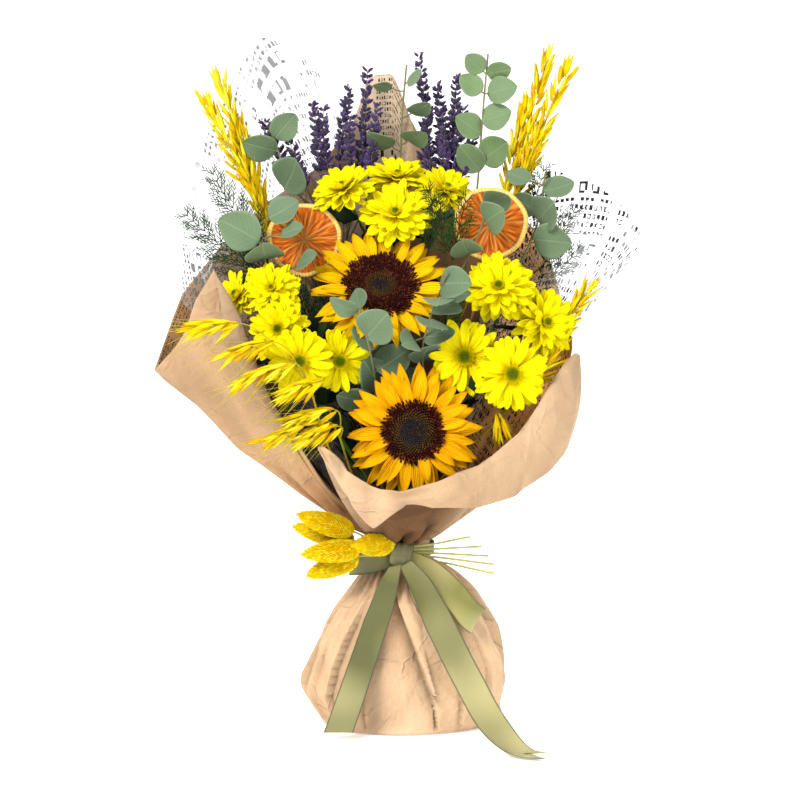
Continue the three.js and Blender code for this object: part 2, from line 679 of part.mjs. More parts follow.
// ---- paper foot: the lower run of the paper, gathered at the neck and folded under ----
// Profile of the half width and the half depth, as [share of the full spread, height].
const footNeck = (frontNeck * 2) / footWidth;
const footOuter = [
  [0, 0], [0.82, 0], [0.93, 5], [1, 22], [0.98, 44], [0.88, 78], [0.68, 108], [0.46, 136],
  [footNeck, neckFoot], [footNeck, tieHeight - seam],
];
const footWall = (share, z, inset, turn) => {
  const pleat = 1 + (share > footNeck ? footPleatDepth * Math.cos(footPleats * turn) : 0);
  const x = Math.max(share * footWidth / 2 - inset, 0) * pleat * Math.cos(turn);
  const depth = mix(frontNeck, footDepth / 2, (share - footNeck) / (1 - footNeck));
  const y = share > 0 ? Math.max(depth - inset, 0) : 0;
  return [x, y * pleat * Math.sin(turn), z];
};
function footShell() {
  const turns = 28;
  const loop = [];
  for (const [share, z] of footOuter) loop.push([share, z, 0]);
  for (const [share, z] of [...footOuter].reverse()) loop.push([share, Math.max(z, paperThickness), paperThickness]);
  const positions = [];
  for (const [share, z, inset] of loop) {
    for (let k = 0; k < turns; k++) {
      positions.push(...footWall(share, z, inset, (k / turns) * Math.PI * 2));
    }
  }
  const index = [];
  for (let i = 0; i < loop.length - 1; i++) {
    for (let k = 0; k < turns; k++) {
      const a = i * turns + k;
      const b = i * turns + ((k + 1) % turns);
      index.push(a, b, b + turns, a, b + turns, a + turns);
    }
  }
  const geometry = new THREE.BufferGeometry();
  geometry.setAttribute("position", new THREE.Float32BufferAttribute(positions, 3));
  geometry.setIndex(index);
  return fromManifold(toManifold(geometry));
}
add("wrap_foot", footShell(), paint(colours.kraft, 0.85));

// ---- ribbon: a band round the neck, a bow with a knot, and two tails ----
const bandProfile = [[0, -0.5], [1, -0.5], [1, 0.5], [0, 0.5], [0, -0.5]].map(
  ([r, z]) => new THREE.Vector2(bandInner + r * bandThickness, z * bandHeight));
const band = new THREE.LatheGeometry(bandProfile, 24).rotateX(Math.PI / 2);
add("ribbon_band", band.translate(0, 0, tieHeight), paint(colours.ribbon, 0.4));

// A flat strip along points, with the direction across it given at each point.
function strip(points, across, width, thickness) {
  const rows = points.map((p, i) => {
    const side = vec(across[i]).normalize().multiplyScalar(width / 2);
    return [vec(p).sub(side), vec(p).add(side)];
  });
  return sheet(rows, thickness);
}

const strawY = -(bandInner + bandThickness + 3 * gap + strawRadius);
const knotDepth = 5;
const knotY = strawY - strawRadius - gap - knotDepth;
const knotHeight = tieHeight + 1;
const knot = new THREE.SphereGeometry(1, 10, 8).scale(9, knotDepth, 10).translate(1, knotY, knotHeight);
const loopRight = strip(
  [[6, knotY, tieHeight - 4], [26, knotY - 10, tieHeight - 18], [48, knotY - 18, tieHeight - 38],
    [66, knotY - 20, tieHeight - 56]],
  [[0.5, 0, 1], [0.6, 0, 1], [0.7, 0, 1], [0.75, 0, 1]], ribbonWidth * 0.92, 4);
const loopLeft = strip(
  [[-3, knotY, tieHeight - 9], [-20, knotY + 4, tieHeight - 14], [-42, knotY + 12, tieHeight - 13]],
  [[0, 0, 1], [0.1, 0, 1], [0.2, 0, 1]], ribbonWidth * 0.5, 4);
add("ribbon_bow", fuse([knot, loopRight, loopLeft]), paint(colours.ribbon, 0.4));

// Front of the foot at a height, for what hangs before it.
function footFront(z) {
  const upper = footOuter.findIndex(([, height], i) => i > 1 && height >= z);
  const [[shareLow, low], [shareHigh, high]] = footOuter.slice(upper - 1, upper + 1);
  const share = mix(shareLow, shareHigh, (z - low) / Math.max(high - low, 1));
  const depth = mix(frontNeck, footDepth / 2, (share - footNeck) / (1 - footNeck));
  return -depth * (1 + footPleatDepth);
}

const tailTop = tieHeight - 20;
const tailClear = 4;
const tailLeft = strip(
  [[-7, footFront(tailTop) - 2, tailTop], [-20, footFront(110) - tailClear, 110],
    [-34, footFront(66) - tailClear, 66], [-50, footFront(22) - tailClear, 8]],
  [[1, 0, 0.3], [1, 0, 0.25], [1, 0, 0.15], [1, 0, 0]], ribbonWidth, ribbonThickness);
add("ribbon_tail_left", tailLeft, paint(colours.ribbon, 0.4));
const tailRight = strip(
  [[14, footFront(tailTop - 6) - tailClear, tailTop - 6], [36, footFront(96) - tailClear, 96],
    [62, footFront(52) - tailClear, 52], [84, footFront(22) - 3 * tailClear, 20],
    [104, footFront(22) - 34, 2], [116, footFront(22) - 54, 1]],
  [[0.9, 0, 0.6], [0.9, 0, 0.55], [0.9, 0, 0.45], [0.95, 0, 0.3], [1, 0.1, 0], [1, 0.3, 0]],
  ribbonWidth, ribbonThickness);
add("ribbon_tail_right", tailRight, paint(colours.ribbon, 0.4));

// ---- phalaris heads, their straws tucked between the band and the knot ----
// Each: [name, tip, base of the head, cut end of the straw], from the highest straw down.
const phalaris = [
  ["phalaris_1", [-42, -62, 174], [-12, -46, 174], [62, -40, 176]],
  ["phalaris_2", [-92, -62, 200], [-52, -50, 186], [72, -44, 168]],
  ["phalaris_3", [-96, -40, 186], [-56, -36, 174], [78, -46, 160]],
  ["phalaris_4", [-86, -64, 164], [-48, -54, 166], [82, -48, 153]],
  ["phalaris_5", [-82, -46, 142], [-48, -42, 152], [84, -44, 144]],
];
const strawPitch = 2 * strawRadius + gap + 0.6;
const knotShift = strawY + 32.4; // the heads keep their place before the band
phalaris.forEach(([name, ...ends], i) => {
  const [tip, base, cut] = ends.map(([x, y, z]) => [x, y + knotShift, z + tieHeight - layout.tie]);
  const level = knotHeight + knotDepth - i * strawPitch;
  const inside = vec(base).lerp(vec(tip), 0.2).toArray();
  const straw = bar([cut, [9, strawY, level], [-9, strawY, level], base, inside], strawRadius, 4, 9);
  add(name, fuse([ear(base, tip, phalarisRadius, 8), straw]), paint(colours.oat, 0.85));
});

export default bouquet;
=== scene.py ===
import math

import bpy
import numpy as np
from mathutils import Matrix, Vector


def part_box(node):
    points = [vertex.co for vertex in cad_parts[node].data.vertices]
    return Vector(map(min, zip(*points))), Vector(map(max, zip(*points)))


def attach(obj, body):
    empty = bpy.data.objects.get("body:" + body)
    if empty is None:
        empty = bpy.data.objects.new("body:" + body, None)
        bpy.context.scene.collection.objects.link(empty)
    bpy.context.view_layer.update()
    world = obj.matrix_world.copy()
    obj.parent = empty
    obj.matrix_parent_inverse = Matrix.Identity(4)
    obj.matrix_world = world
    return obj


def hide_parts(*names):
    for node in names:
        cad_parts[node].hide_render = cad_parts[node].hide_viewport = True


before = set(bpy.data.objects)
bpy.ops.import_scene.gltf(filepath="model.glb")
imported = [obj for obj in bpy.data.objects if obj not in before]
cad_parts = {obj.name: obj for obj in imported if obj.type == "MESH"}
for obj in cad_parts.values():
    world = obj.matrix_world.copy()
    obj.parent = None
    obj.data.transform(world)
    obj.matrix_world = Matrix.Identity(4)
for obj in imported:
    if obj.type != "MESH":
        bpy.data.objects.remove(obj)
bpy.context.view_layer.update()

scene = bpy.context.scene
mm = 0.001
turnFull = 2 * math.pi
goldenTurn = 2.39996  # radians between one seed and the next

# ---- camera, light and floor ----
studio = {
    "target": (0, 0, 0.294), "distance": 1.8, "elevation": 5, "lens": 90,
    "floor": (0.93, 0.93, 0.93), "world": 0.68, "glow": 0.3,
    "lamps": [  # place, size in metres, power in watts, colour
        ((-1.1, -1.6, 1.7), 0.8, 58, (1, 0.985, 0.96)),
        ((1.6, -1.5, 0.8), 1.4, 19, (0.97, 0.985, 1)),
        ((0.3, 1.1, 1.7), 1.2, 20, (1, 1, 1)),
    ],
}


def aimAt(thing, target):
    toward = np.array(target) - np.array(thing.location)
    flat = math.hypot(toward[0], toward[1])
    thing.rotation_euler = (math.pi / 2 + math.atan2(toward[2], flat), 0, math.atan2(-toward[0], toward[1]))


def makeStudio():
    lens = bpy.data.cameras.new("view")
    lens.lens = studio["lens"]
    lens.sensor_width = 36
    eye = bpy.data.objects.new("view", lens)
    lift = math.radians(studio["elevation"])
    x, y, z = studio["target"]
    reach = studio["distance"]
    eye.location = (x, y - reach * math.cos(lift), z + reach * math.sin(lift))
    aimAt(eye, studio["target"])
    scene.collection.objects.link(eye)
    scene.camera = eye
    for i, (place, size, power, colour) in enumerate(studio["lamps"]):
        lamp = bpy.data.lights.new(f"softbox_{i}", "AREA")
        lamp.size = size
        lamp.energy = power
        lamp.color = colour
        made = bpy.data.objects.new(f"softbox_{i}", lamp)
        made.location = place
        aimAt(made, (0, 0, 0.3))
        scene.collection.objects.link(made)
    world = bpy.data.worlds.new("soft_white")
    world.use_nodes = True
    world.node_tree.nodes["Background"].inputs["Color"].default_value = (1, 1, 1, 1)
    world.node_tree.nodes["Background"].inputs["Strength"].default_value = studio["world"]
    scene.world = world
    scene.view_settings.view_transform = "Standard"


# ---- mesh helpers, in millimetres until the mesh is made ----
def unit(v):
    v = np.asarray(v, float)
    return v / np.maximum(np.linalg.norm(v, axis=-1, keepdims=True), 1e-9)


def ease(t):
    t = np.clip(t, 0, 1)
    return t * t * (3 - 2 * t)


# Evenly spaced places on a smooth curve through the points, which may carry any number of values.
def through(points, count):
    p = np.asarray(points, float)
    s = np.r_[0, np.cumsum(np.maximum(np.linalg.norm(np.diff(p[:, :3], axis=0), axis=1), 1e-6))]
    slope = np.gradient(p, s, axis=0)
    t = np.linspace(0, s[-1], count)
    i = np.clip(np.searchsorted(s, t, side="right") - 1, 0, len(p) - 2)
    h = (s[i + 1] - s[i])[:, None]
    u = (t - s[i])[:, None] / h
    before = (1 + 2 * u) * (1 - u) ** 2 * p[i] + u * (1 - u) ** 2 * h * slope[i]
    return before + u * u * (3 - 2 * u) * p[i + 1] + u * u * (u - 1) * h * slope[i + 1]


# The same along straight runs, for a sheet whose rim has corners.
def straight(points, count):
    p = np.asarray(points, float)
    s = np.r_[0, np.cumsum(np.maximum(np.linalg.norm(np.diff(p[:, :3], axis=0), axis=1), 1e-6))]
    t = np.linspace(0, s[-1], count)
    return np.stack([np.interp(t, s, column) for column in p.T], -1)


# Gentle uneven waves, about -1 to 1.
def wobble(p, size, seed, terms=7):
    dice = np.random.default_rng(seed)
    way = unit(dice.normal(size=(terms, p.shape[-1])))
    way = way * (dice.uniform(0.6, 1.5, (terms, 1)) * turnFull / size)
    return np.sin(p @ way.T + dice.uniform(0, turnFull, terms)).sum(-1) / math.sqrt(terms)


# Rounded facets with sharp creases between them, about -1 to 1; place is a flat map in mm.
def crumple(place, size, seed, stretch=(1, 1)):
    q = place.reshape(-1, 2) / np.array(stretch)
    total = np.zeros(len(q))
    for sign in (1, -1):
        dice = np.random.default_rng(seed + sign)
        low, high = q.min(0) - size, q.max(0) + size
        count = max(int(np.prod(high - low) / size ** 2), 4)
        seeds = dice.uniform(low, high, (count, 2))
        near = np.full(len(q), 1e9)
        for s in seeds:
            near = np.minimum(near, ((q - s) ** 2).sum(1))
        total += sign * near / size ** 2
    return np.clip(total, -1.4, 1.4).reshape(place.shape[:-1])


def gridQuads(m, n, closeM=False, closeN=False):
    i = np.arange(m if closeM else m - 1)[:, None]
    j = np.arange(n if closeN else n - 1)[None, :]
    i2, j2 = (i + 1) % m, (j + 1) % n
    return np.stack([i * n + j, i2 * n + j, i2 * n + j2, i * n + j2], -1).reshape(-1, 4)


def newPile():
    return {"points": [], "quads": [], "uv": [], "tint": [], "count": 0}


def put(pile, points, quads, uv, tint):
    points = np.asarray(points, float).reshape(-1, 3)
    tint = np.broadcast_to(np.asarray(tint, float), (len(points), np.shape(tint)[-1]))
    if tint.shape[1] == 3:
        tint = np.hstack([tint, np.ones((len(points), 1))])
    pile["points"].append(points)
    pile["quads"].append(np.asarray(quads).reshape(-1, 4) + pile["count"])
    pile["uv"].append(np.asarray(uv, float).reshape(-1, 2))
    pile["tint"].append(tint)
    pile["count"] += len(points)


# Closed thin shells on a batch of grids (k, m, n, 3).
def putShells(pile, p, thickness, uv, tint, underTint=None):
    k, m, n, _ = p.shape
    normal = unit(np.cross(np.gradient(p, axis=1), np.gradient(p, axis=2)))
    both = np.stack([p + normal * thickness / 2, p - normal * thickness / 2], 1)
    top = gridQuads(m, n)
    under = top[:, ::-1] + m * n
    side = []
    far, last = n - 1, (m - 1) * n
    for i in range(0, last, n):
        side.append([i, i + m * n, i + n + m * n, i + n])
        side.append([i + n + far, i + n + far + m * n, i + far + m * n, i + far])
    for j in range(n - 1):
        side.append([j + 1, j + 1 + m * n, j + m * n, j])
        side.append([last + j, last + j + m * n, last + j + 1 + m * n, last + j + 1])
    one = np.vstack([top, under, side])
    quads = one[None] + (np.arange(k) * 2 * m * n)[:, None, None]
    uv = np.broadcast_to(uv, (k, m, n, 2))
    tint = np.broadcast_to(tint, (k, m, n, np.shape(tint)[-1]))
    underTint = tint if underTint is None else np.broadcast_to(underTint, tint.shape)
    tints = np.stack([tint, underTint], 1).reshape(-1, tint.shape[-1])
    put(pile, both, quads, np.stack([uv, uv], 1), tints)


# A round surface from a profile of [radius, height] pairs, closed at both ends, along its own +Z.
def lathe(profile, sides):
    profile = np.asarray(profile, float)
    a = np.arange(sides) / sides * turnFull
    ring = np.stack([np.cos(a), np.sin(a)], -1)
    heights = np.broadcast_to(profile[:, None, 1:], (len(profile), sides, 1))
    points = np.concatenate([profile[:, None, :1] * ring[None], heights], -1)
    share = np.linspace(0, 1, len(profile))
    uv = np.stack(np.meshgrid(share, a / turnFull, indexing="ij"), -1)[..., ::-1]
    return points.reshape(-1, 3), gridQuads(len(profile), sides, closeN=True)[:, ::-1], uv.reshape(-1, 2)


def axesFor(way):
    z = unit(way)
    helper = np.where(np.abs(z[..., 2:]) > 0.95, [[1.0, 0, 0]], [[0, 0, 1.0]])
    x = unit(np.cross(helper, z))
    return x, np.cross(z, x), z


# Many copies of one template, its +Z along each way.
def scatter(pile, template, places, ways, sizes, tints, spins=None):
    points, quads, uv = template
    places = np.asarray(places, float).reshape(-1, 3)
    k = len(places)
    x, y, z = axesFor(np.broadcast_to(np.asarray(ways, float), (k, 3)))
    spins = np.zeros(k) if spins is None else np.asarray(spins)
    c, s = np.cos(spins)[:, None], np.sin(spins)[:, None]
    x, y = x * c + y * s, y * c - x * s
    sizes = np.broadcast_to(np.asarray(sizes, float), (k, 3))
    scaled = points[None] * sizes[:, None]
    world = places[:, None] + scaled[..., :1] * x[:, None] + scaled[..., 1:2] * y[:, None]
    world = world + scaled[..., 2:] * z[:, None]
    tints = np.broadcast_to(np.asarray(tints, float), (k, 3))
    allTint = np.repeat(tints, len(points), 0)
    allQuads = quads[None] + (np.arange(k) * len(points))[:, None, None]
    put(pile, world, allQuads, np.tile(uv, (k, 1)), allTint)


def tube(pile, points, radius, tint, sides=7, rings=None, taper=1.0):
    points = np.asarray(points, float)
    length = np.linalg.norm(np.diff(points, axis=0), axis=1).sum()
    rings = rings or max(int(length / 6), 6)
    if len(points) > 2:
        path = through(points, rings)
    else:
        path = points[0] + np.linspace(0, 1, rings)[:, None] * (points[1] - points[0])
    way = unit(np.gradient(path, axis=0))
    across = np.zeros_like(path)
    side = axesFor(way[:1])[0][0]
    for i, w in enumerate(way):
        side = unit(side - w * (side @ w))
        across[i] = side
    other = np.cross(way, across)
    width = np.broadcast_to(radius, rings) * np.linspace(1, taper, rings)
    ends = np.r_[0.02, np.ones(rings), 0.02]
    pick = np.r_[0, np.arange(rings), rings - 1]
    a = np.arange(sides) / sides * turnFull
    spread = np.cos(a)[:, None] * across[pick][:, None] + np.sin(a)[:, None] * other[pick][:, None]
    wall = path[pick][:, None] + spread * (width[pick] * ends)[:, None, None]
    s = np.linspace(0, length / 20, rings + 2)
    uv = np.stack(np.meshgrid(s, a / turnFull, indexing="ij"), -1)[..., ::-1]
    put(pile, wall, gridQuads(rings + 2, sides, closeN=True)[:, ::-1], uv, tint)
    return path


def makeObject(pile, name, material, replaced=()):
    points = np.vstack(pile["points"]) * mm
    quads = np.vstack(pile["quads"])
    uv = np.vstack(pile["uv"])
    tint = np.vstack(pile["tint"])
    mesh = bpy.data.meshes.new(name)
    mesh.vertices.add(len(points))
    mesh.vertices.foreach_set("co", points.ravel())
    mesh.loops.add(quads.size)
    mesh.loops.foreach_set("vertex_index", quads.ravel().astype(np.int32))
    mesh.polygons.add(len(quads))
    mesh.polygons.foreach_set("loop_start", np.arange(0, quads.size, 4, dtype=np.int32))
    mesh.update(calc_edges=True)
    layer = mesh.uv_layers.new(name="map")
    layer.uv.foreach_set("vector", uv[quads.ravel()].ravel())
    paint = mesh.color_attributes.new(name="tint", type="FLOAT_COLOR", domain="POINT")
    paint.data.foreach_set("color", tint.ravel())
    mesh.shade_smooth()
    mesh.materials.append(material)
    made = bpy.data.objects.new(name, mesh)
    scene.collection.objects.link(made)
    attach(made, "root")
    if replaced:
        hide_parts(*replaced)
    return made


# ---- shader helpers ----
def addNode(tree, kind, inputs=None, **settings):
    made = tree.nodes.new("ShaderNode" + kind)
    for key, value in settings.items():
        setattr(made, key, value)
    for key, value in (inputs or {}).items():
        if isinstance(value, bpy.types.NodeSocket):
            tree.links.new(value, made.inputs[key])
        else:
            made.inputs[key].default_value = value
    return made


def calc(tree, operation, a, b=0.5, c=0.0):
    return addNode(tree, "Math", {0: a, 1: b, 2: c}, operation=operation).outputs[0]


def spanTo(tree, value, low, high, outLow=0.0, outHigh=1.0):
    return addNode(tree, "MapRange", {0: value, 1: low, 2: high, 3: outLow, 4: outHigh}).outputs[0]


def mixColour(tree, share, a, b, mode="MIX"):
    return addNode(tree, "Mix", {0: share, 6: a, 7: b}, data_type="RGBA", blend_type=mode).outputs[2]


def noiseAt(tree, vector, scale, detail=4.0, rough=0.55):
    made = addNode(tree, "TexNoise", {"Vector": vector, "Scale": scale, "Detail": detail, "Roughness": rough})
    return made.outputs["Fac"]


def newGroup(name, inputs, outputs):
    tree = bpy.data.node_groups.new(name, "ShaderNodeTree")
    for label, kind, value in inputs:
        made = tree.interface.new_socket(label, in_out="INPUT", socket_type="NodeSocket" + kind)
        if value is not None:
            made.default_value = value
    for label, kind in outputs:
        tree.interface.new_socket(label, in_out="OUTPUT", socket_type="NodeSocket" + kind)
    return tree, tree.nodes.new("NodeGroupInput").outputs, tree.nodes.new("NodeGroupOutput").inputs


def placeGroup(tree, group, inputs):
    made = tree.nodes.new("ShaderNodeGroup")
    made.node_tree = group
    for key, value in inputs.items():
        if isinstance(value, bpy.types.NodeSocket):
            tree.links.new(value, made.inputs[key])
        else:
            made.inputs[key].default_value = value
    return made.outputs


def newMaterial(name, shader):
    made = bpy.data.materials.new(name)
    made.use_nodes = True
    tree = made.node_tree
    body = tree.nodes["Principled BSDF"]
    for key, value in shader.items():
        body.inputs[key].default_value = value
    places = addNode(tree, "TexCoord").outputs
    tint = addNode(tree, "Attribute", attribute_name="tint").outputs
    return made, tree, body, places, tint


sockets = {"colour": "Base Color", "rough": "Roughness", "alpha": "Alpha"}


def feed(tree, body, **values):
    for key, value in values.items():
        tree.links.new(value, body.inputs[sockets[key]])


def bumpOf(tree, body, height, distance, strength=1.0):
    made = addNode(tree, "Bump", {"Height": height, "Distance": distance, "Strength": strength})
    tree.links.new(made.outputs["Normal"], body.inputs["Normal"])


# Lengthwise veins, mottling and a little unevenness, for every petal, leaf, stem and husk.
def makePlantSkin():
    group, given, made = newGroup("plantSkin", [
        ("Tint", "Color", None), ("Map", "Vector", None), ("Place", "Vector", None),
        ("Vein Count", "Float", 9.0), ("Vein Depth", "Float", 0.5), ("Mottle Size", "Float", 90.0),
        ("Mottle", "Float", 0.25), ("Roughness", "Float", 0.6),
    ], [("Color", "Color"), ("Roughness", "Float"), ("Height", "Float")])
    across = addNode(group, "SeparateXYZ", {0: given["Map"]}).outputs[0]
    drift = noiseAt(group, given["Place"], 60.0, 2.0)
    counted = calc(group, "MULTIPLY", across, given["Vein Count"])
    lane = calc(group, "ADD", counted, calc(group, "MULTIPLY", drift, 0.9))
    wave = calc(group, "ABSOLUTE", calc(group, "SUBTRACT", calc(group, "FRACT", lane), 0.5))
    vein = calc(group, "POWER", calc(group, "MULTIPLY", wave, 2.0), 3.0)
    cloud = noiseAt(group, given["Place"], given["Mottle Size"], 5.0)
    shade = calc(group, "MULTIPLY", calc(group, "SUBTRACT", cloud, 0.5), given["Mottle"])
    lined = calc(group, "MULTIPLY", calc(group, "MULTIPLY", vein, given["Vein Depth"]), -0.2)
    level = calc(group, "ADD", calc(group, "ADD", shade, lined), 1.0)
    grey = addNode(group, "CombineXYZ", {0: level, 1: level, 2: level}).outputs[0]
    group.links.new(mixColour(group, 1.0, given["Tint"], grey, "MULTIPLY"), made["Color"])
    rough = calc(group, "ADD", given["Roughness"], calc(group, "MULTIPLY", shade, 0.7))
    group.links.new(rough, made["Roughness"])
    grooves = calc(group, "MULTIPLY", vein, given["Vein Depth"])
    height = calc(group, "SUBTRACT", calc(group, "MULTIPLY", cloud, 0.6), grooves)
    group.links.new(height, made["Height"])
    return group


# Sharp little creases and soft dents of handled paper or film.
def makeCrinkle():
    group, given, made = newGroup("crinkle", [
        ("Place", "Vector", None), ("Crease Size", "Float", 40.0), ("Fibre Size", "Float", 900.0),
    ], [("Height", "Float"), ("Crease", "Float"), ("Cloud", "Float")])
    jitter = addNode(group, "TexNoise", {"Vector": given["Place"], "Scale": 9.0, "Detail": 4.0})
    shift = {0: jitter.outputs["Color"], 1: (0.09, 0.09, 0.05), 2: given["Place"]}
    bent = addNode(group, "VectorMath", shift, operation="MULTIPLY_ADD").outputs[0]
    cells = addNode(group, "TexVoronoi", {"Vector": bent, "Scale": given["Crease Size"]},
                    feature="DISTANCE_TO_EDGE").outputs["Distance"]
    crease = spanTo(group, cells, 0.0, 0.035, 1.0, 0.0)
    soft = noiseAt(group, bent, 26.0, 3.0)
    patchy = calc(group, "MULTIPLY", crease, spanTo(group, soft, 0.42, 0.6))
    fibre = noiseAt(group, given["Place"], given["Fibre Size"], 2.0)
    height = calc(group, "ADD", soft, calc(group, "MULTIPLY", patchy, 0.13))
    group.links.new(calc(group, "ADD", height, calc(group, "MULTIPLY", fibre, 0.03)), made["Height"])
    group.links.new(patchy, made["Crease"])
    group.links.new(soft, made["Cloud"])
    return group


# Columns of unreadable printed lines with bolder bars here and there; the map is in units of 100 mm.
def makeNewsprint():
    group, given, made = newGroup("newsprint", [
        ("Map", "Vector", None), ("Line Pitch", "Float", 0.034),
        ("Column", "Float", 0.52), ("Bold", "Float", 0.3),
    ], [("Ink", "Float")])
    part = addNode(group, "SeparateXYZ", {0: given["Map"]}).outputs
    column = calc(group, "DIVIDE", part[0], given["Column"])
    shelf = calc(group, "FLOOR", calc(group, "DIVIDE", part[1], 0.34))
    block = addNode(group, "CombineXYZ", {0: calc(group, "FLOOR", column), 1: shelf}).outputs[0]
    pick = addNode(group, "TexWhiteNoise", {"Vector": block}, noise_dimensions="2D").outputs["Value"]
    bold = calc(group, "LESS_THAN", pick, given["Bold"])
    pitch = calc(group, "MULTIPLY", given["Line Pitch"], calc(group, "MULTIPLY_ADD", bold, 1.4, 1.0))
    line = calc(group, "DIVIDE", part[1], pitch)
    row = calc(group, "FLOOR", line)
    band = calc(group, "COMPARE", calc(group, "FRACT", line), 0.5, 0.29)
    letter = calc(group, "DIVIDE", part[0], calc(group, "MULTIPLY", pitch, 0.55))
    cell = addNode(group, "CombineXYZ", {0: calc(group, "FLOOR", letter), 1: row}).outputs[0]
    chance = addNode(group, "TexWhiteNoise", {"Vector": cell}, noise_dimensions="2D").outputs["Value"]
    there = calc(group, "GREATER_THAN", chance, 0.2)
    stroke = calc(group, "COMPARE", calc(group, "FRACT", letter), 0.45, 0.33)
    fine = addNode(group, "CombineXYZ", {
        0: calc(group, "FLOOR", calc(group, "MULTIPLY", letter, 3.0)),
        1: calc(group, "FLOOR", calc(group, "MULTIPLY", line, 3.0))}).outputs[0]
    gap = addNode(group, "TexWhiteNoise", {"Vector": fine}, noise_dimensions="2D").outputs["Value"]
    solid = calc(group, "GREATER_THAN", gap, 0.3)
    margin = calc(group, "COMPARE", calc(group, "FRACT", column), 0.5, 0.44)
    ink = calc(group, "MULTIPLY", band, there)
    for mask in (stroke, solid, margin):
        ink = calc(group, "MULTIPLY", ink, mask)
    group.links.new(ink, made["Ink"])
    return group


plantSkin = makePlantSkin()
crinkle = makeCrinkle()
newsprint = makeNewsprint()


def plantMaterial(name, veins=9.0, depth=0.4, mottle=0.25, size=90.0, rough=0.6, bump=0.0006, shader=None):
    made, tree, body, places, tint = newMaterial(name, {"Specular IOR Level": 0.12, **(shader or {})})
    skin = placeGroup(tree, plantSkin, {
        "Tint": tint["Color"], "Map": places["UV"], "Place": places["Object"], "Vein Count": veins,
        "Vein Depth": depth, "Mottle Size": size, "Mottle": mottle, "Roughness": rough})
    feed(tree, body, colour=skin["Color"], rough=skin["Roughness"])
    bumpOf(tree, body, skin["Height"], bump)
    return made


def rgb(r, g, b):
    c = np.array([r, g, b]) / 255
    return np.where(c <= 0.04045, c / 12.92, ((c + 0.055) / 1.055) ** 2.4)


# ---- kraft paper ----
kraft = {
    "light": rgb(196, 166, 134), "dark": rgb(168, 137, 104), "ink": rgb(40, 28, 20), "thickness": 0.5,
    "creaseSize": 19.0, "bump": 0.008,
}


def makeKraftMaterial():
    made, tree, body, places, tint = newMaterial("kraft_paper", {"Specular IOR Level": 0.18})
    dents = placeGroup(tree, crinkle, {"Place": places["Object"], "Crease Size": kraft["creaseSize"]})
    streak = addNode(tree, "Mapping", {0: places["UV"], 3: (1.0, 0.12, 1.0)}).outputs[0]
    fibre = noiseAt(tree, streak, 110.0, 2.0)
    speck = noiseAt(tree, places["Object"], 900.0, 2.0)
    blotch = noiseAt(tree, places["Object"], 8.0, 4.0)
    fine = calc(tree, "MULTIPLY", calc(tree, "ADD", fibre, speck), 0.17)
    share = calc(tree, "ADD", fine, calc(tree, "MULTIPLY", blotch, 0.66))
    paper = mixColour(tree, spanTo(tree, share, 0.33, 0.66), (*kraft["dark"], 1), (*kraft["light"], 1))
    worn = mixColour(tree, calc(tree, "MULTIPLY", dents["Crease"], 0.2), paper, (*rgb(222, 192, 158), 1))
    shaded = mixColour(tree, 1.0, worn, tint["Color"], "MULTIPLY")
    ink = placeGroup(tree, newsprint, {"Map": places["UV"], "Line Pitch": 0.044, "Bold": 0.45})["Ink"]
    printed = calc(tree, "MULTIPLY", ink, tint["Alpha"])
    colour = mixColour(tree, printed, shaded, (*kraft["ink"], 1))
    rough = calc(tree, "SUBTRACT", 0.78, calc(tree, "MULTIPLY", dents["Crease"], 0.15))
    feed(tree, body, colour=colour, rough=rough)
    bumpOf(tree, body, dents["Height"], kraft["bump"])
    return made


kraftPaper = makeKraftMaterial()

bandLow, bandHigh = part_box("ribbon_band")
tie = {
    "height": (bandLow[2] + bandHigh[2]) / 2 / mm,
    "outer": bandHigh[0] / mm, "bandHeight": (bandHigh[2] - bandLow[2]) / mm,
    "pitch": 6.4, "splayX": 2.2, "splayY": 1.7, "cut": 9, "film": 25.0, "back": 26.8, "front": 28.8,
}
neckTop = tie["height"] + tie["bandHeight"] / 2 + 1.4


def neckAt(angle, radius, z):
    a = np.radians(angle)
    return np.stack([radius * np.cos(a), radius * np.sin(a), np.broadcast_to(z, np.shape(a))], -1)


# A sheet gathered at the neck. Rays are [angle at the neck, rim x, y, z, bulge x, y, z].
def fanGrid(rays, radius, across, along, crisp=0.0):
    table = np.array([[r[1][0], r[1][1], r[1][2], *r[2], r[0]] for r in rays], float)
    table = through(table, across) * (1 - crisp) + straight(table, across) * crisp
    rim, bulge, angle = table[:, :3], table[:, 3:6], table[:, 6]
    start = neckAt(angle, radius, neckTop)
    t = np.linspace(0, 1, along)[None, :, None]
    body = (1 - t) ** 2 * start[:, None] + 2 * t * (1 - t) * bulge[:, None] + t * t * rim[:, None]
    low = neckAt(angle, radius, tie["height"] + 1.2)
    stand = low[:, None] + np.linspace(0, 1, 5)[None, :-1, None] * (start - low)[:, None]
    return np.concatenate([stand, body], 1), angle


def mapOf(p):
    across = np.linalg.norm(np.diff(p[:, -1], axis=0), axis=1)
    along = np.linalg.norm(np.diff(p[len(p) // 2], axis=0), axis=1)
    u, v = np.r_[0, np.cumsum(across)], np.r_[0, np.cumsum(along)]
    return np.stack(np.meshgrid(u, v, indexing="ij"), -1)


# Folds catch light on their crests and lose it in their hollows.
def foldShade(push, depth, near=9):
    wide = push.copy()
    for _ in range(3):
        ring = np.concatenate([wide[-near:], wide, wide[:near]])
        total = np.cumsum(np.concatenate([np.zeros((1, ring.shape[1])), ring]), 0)
        wide = (total[2 * near + 1:] - total[:-2 * near - 1]) / (2 * near + 1)
    return np.clip(1 + depth * (push - wide), 0.5, 1.1)


def normalsOf(p):
    return unit(np.cross(np.gradient(p, axis=0), np.gradient(p, axis=1)))


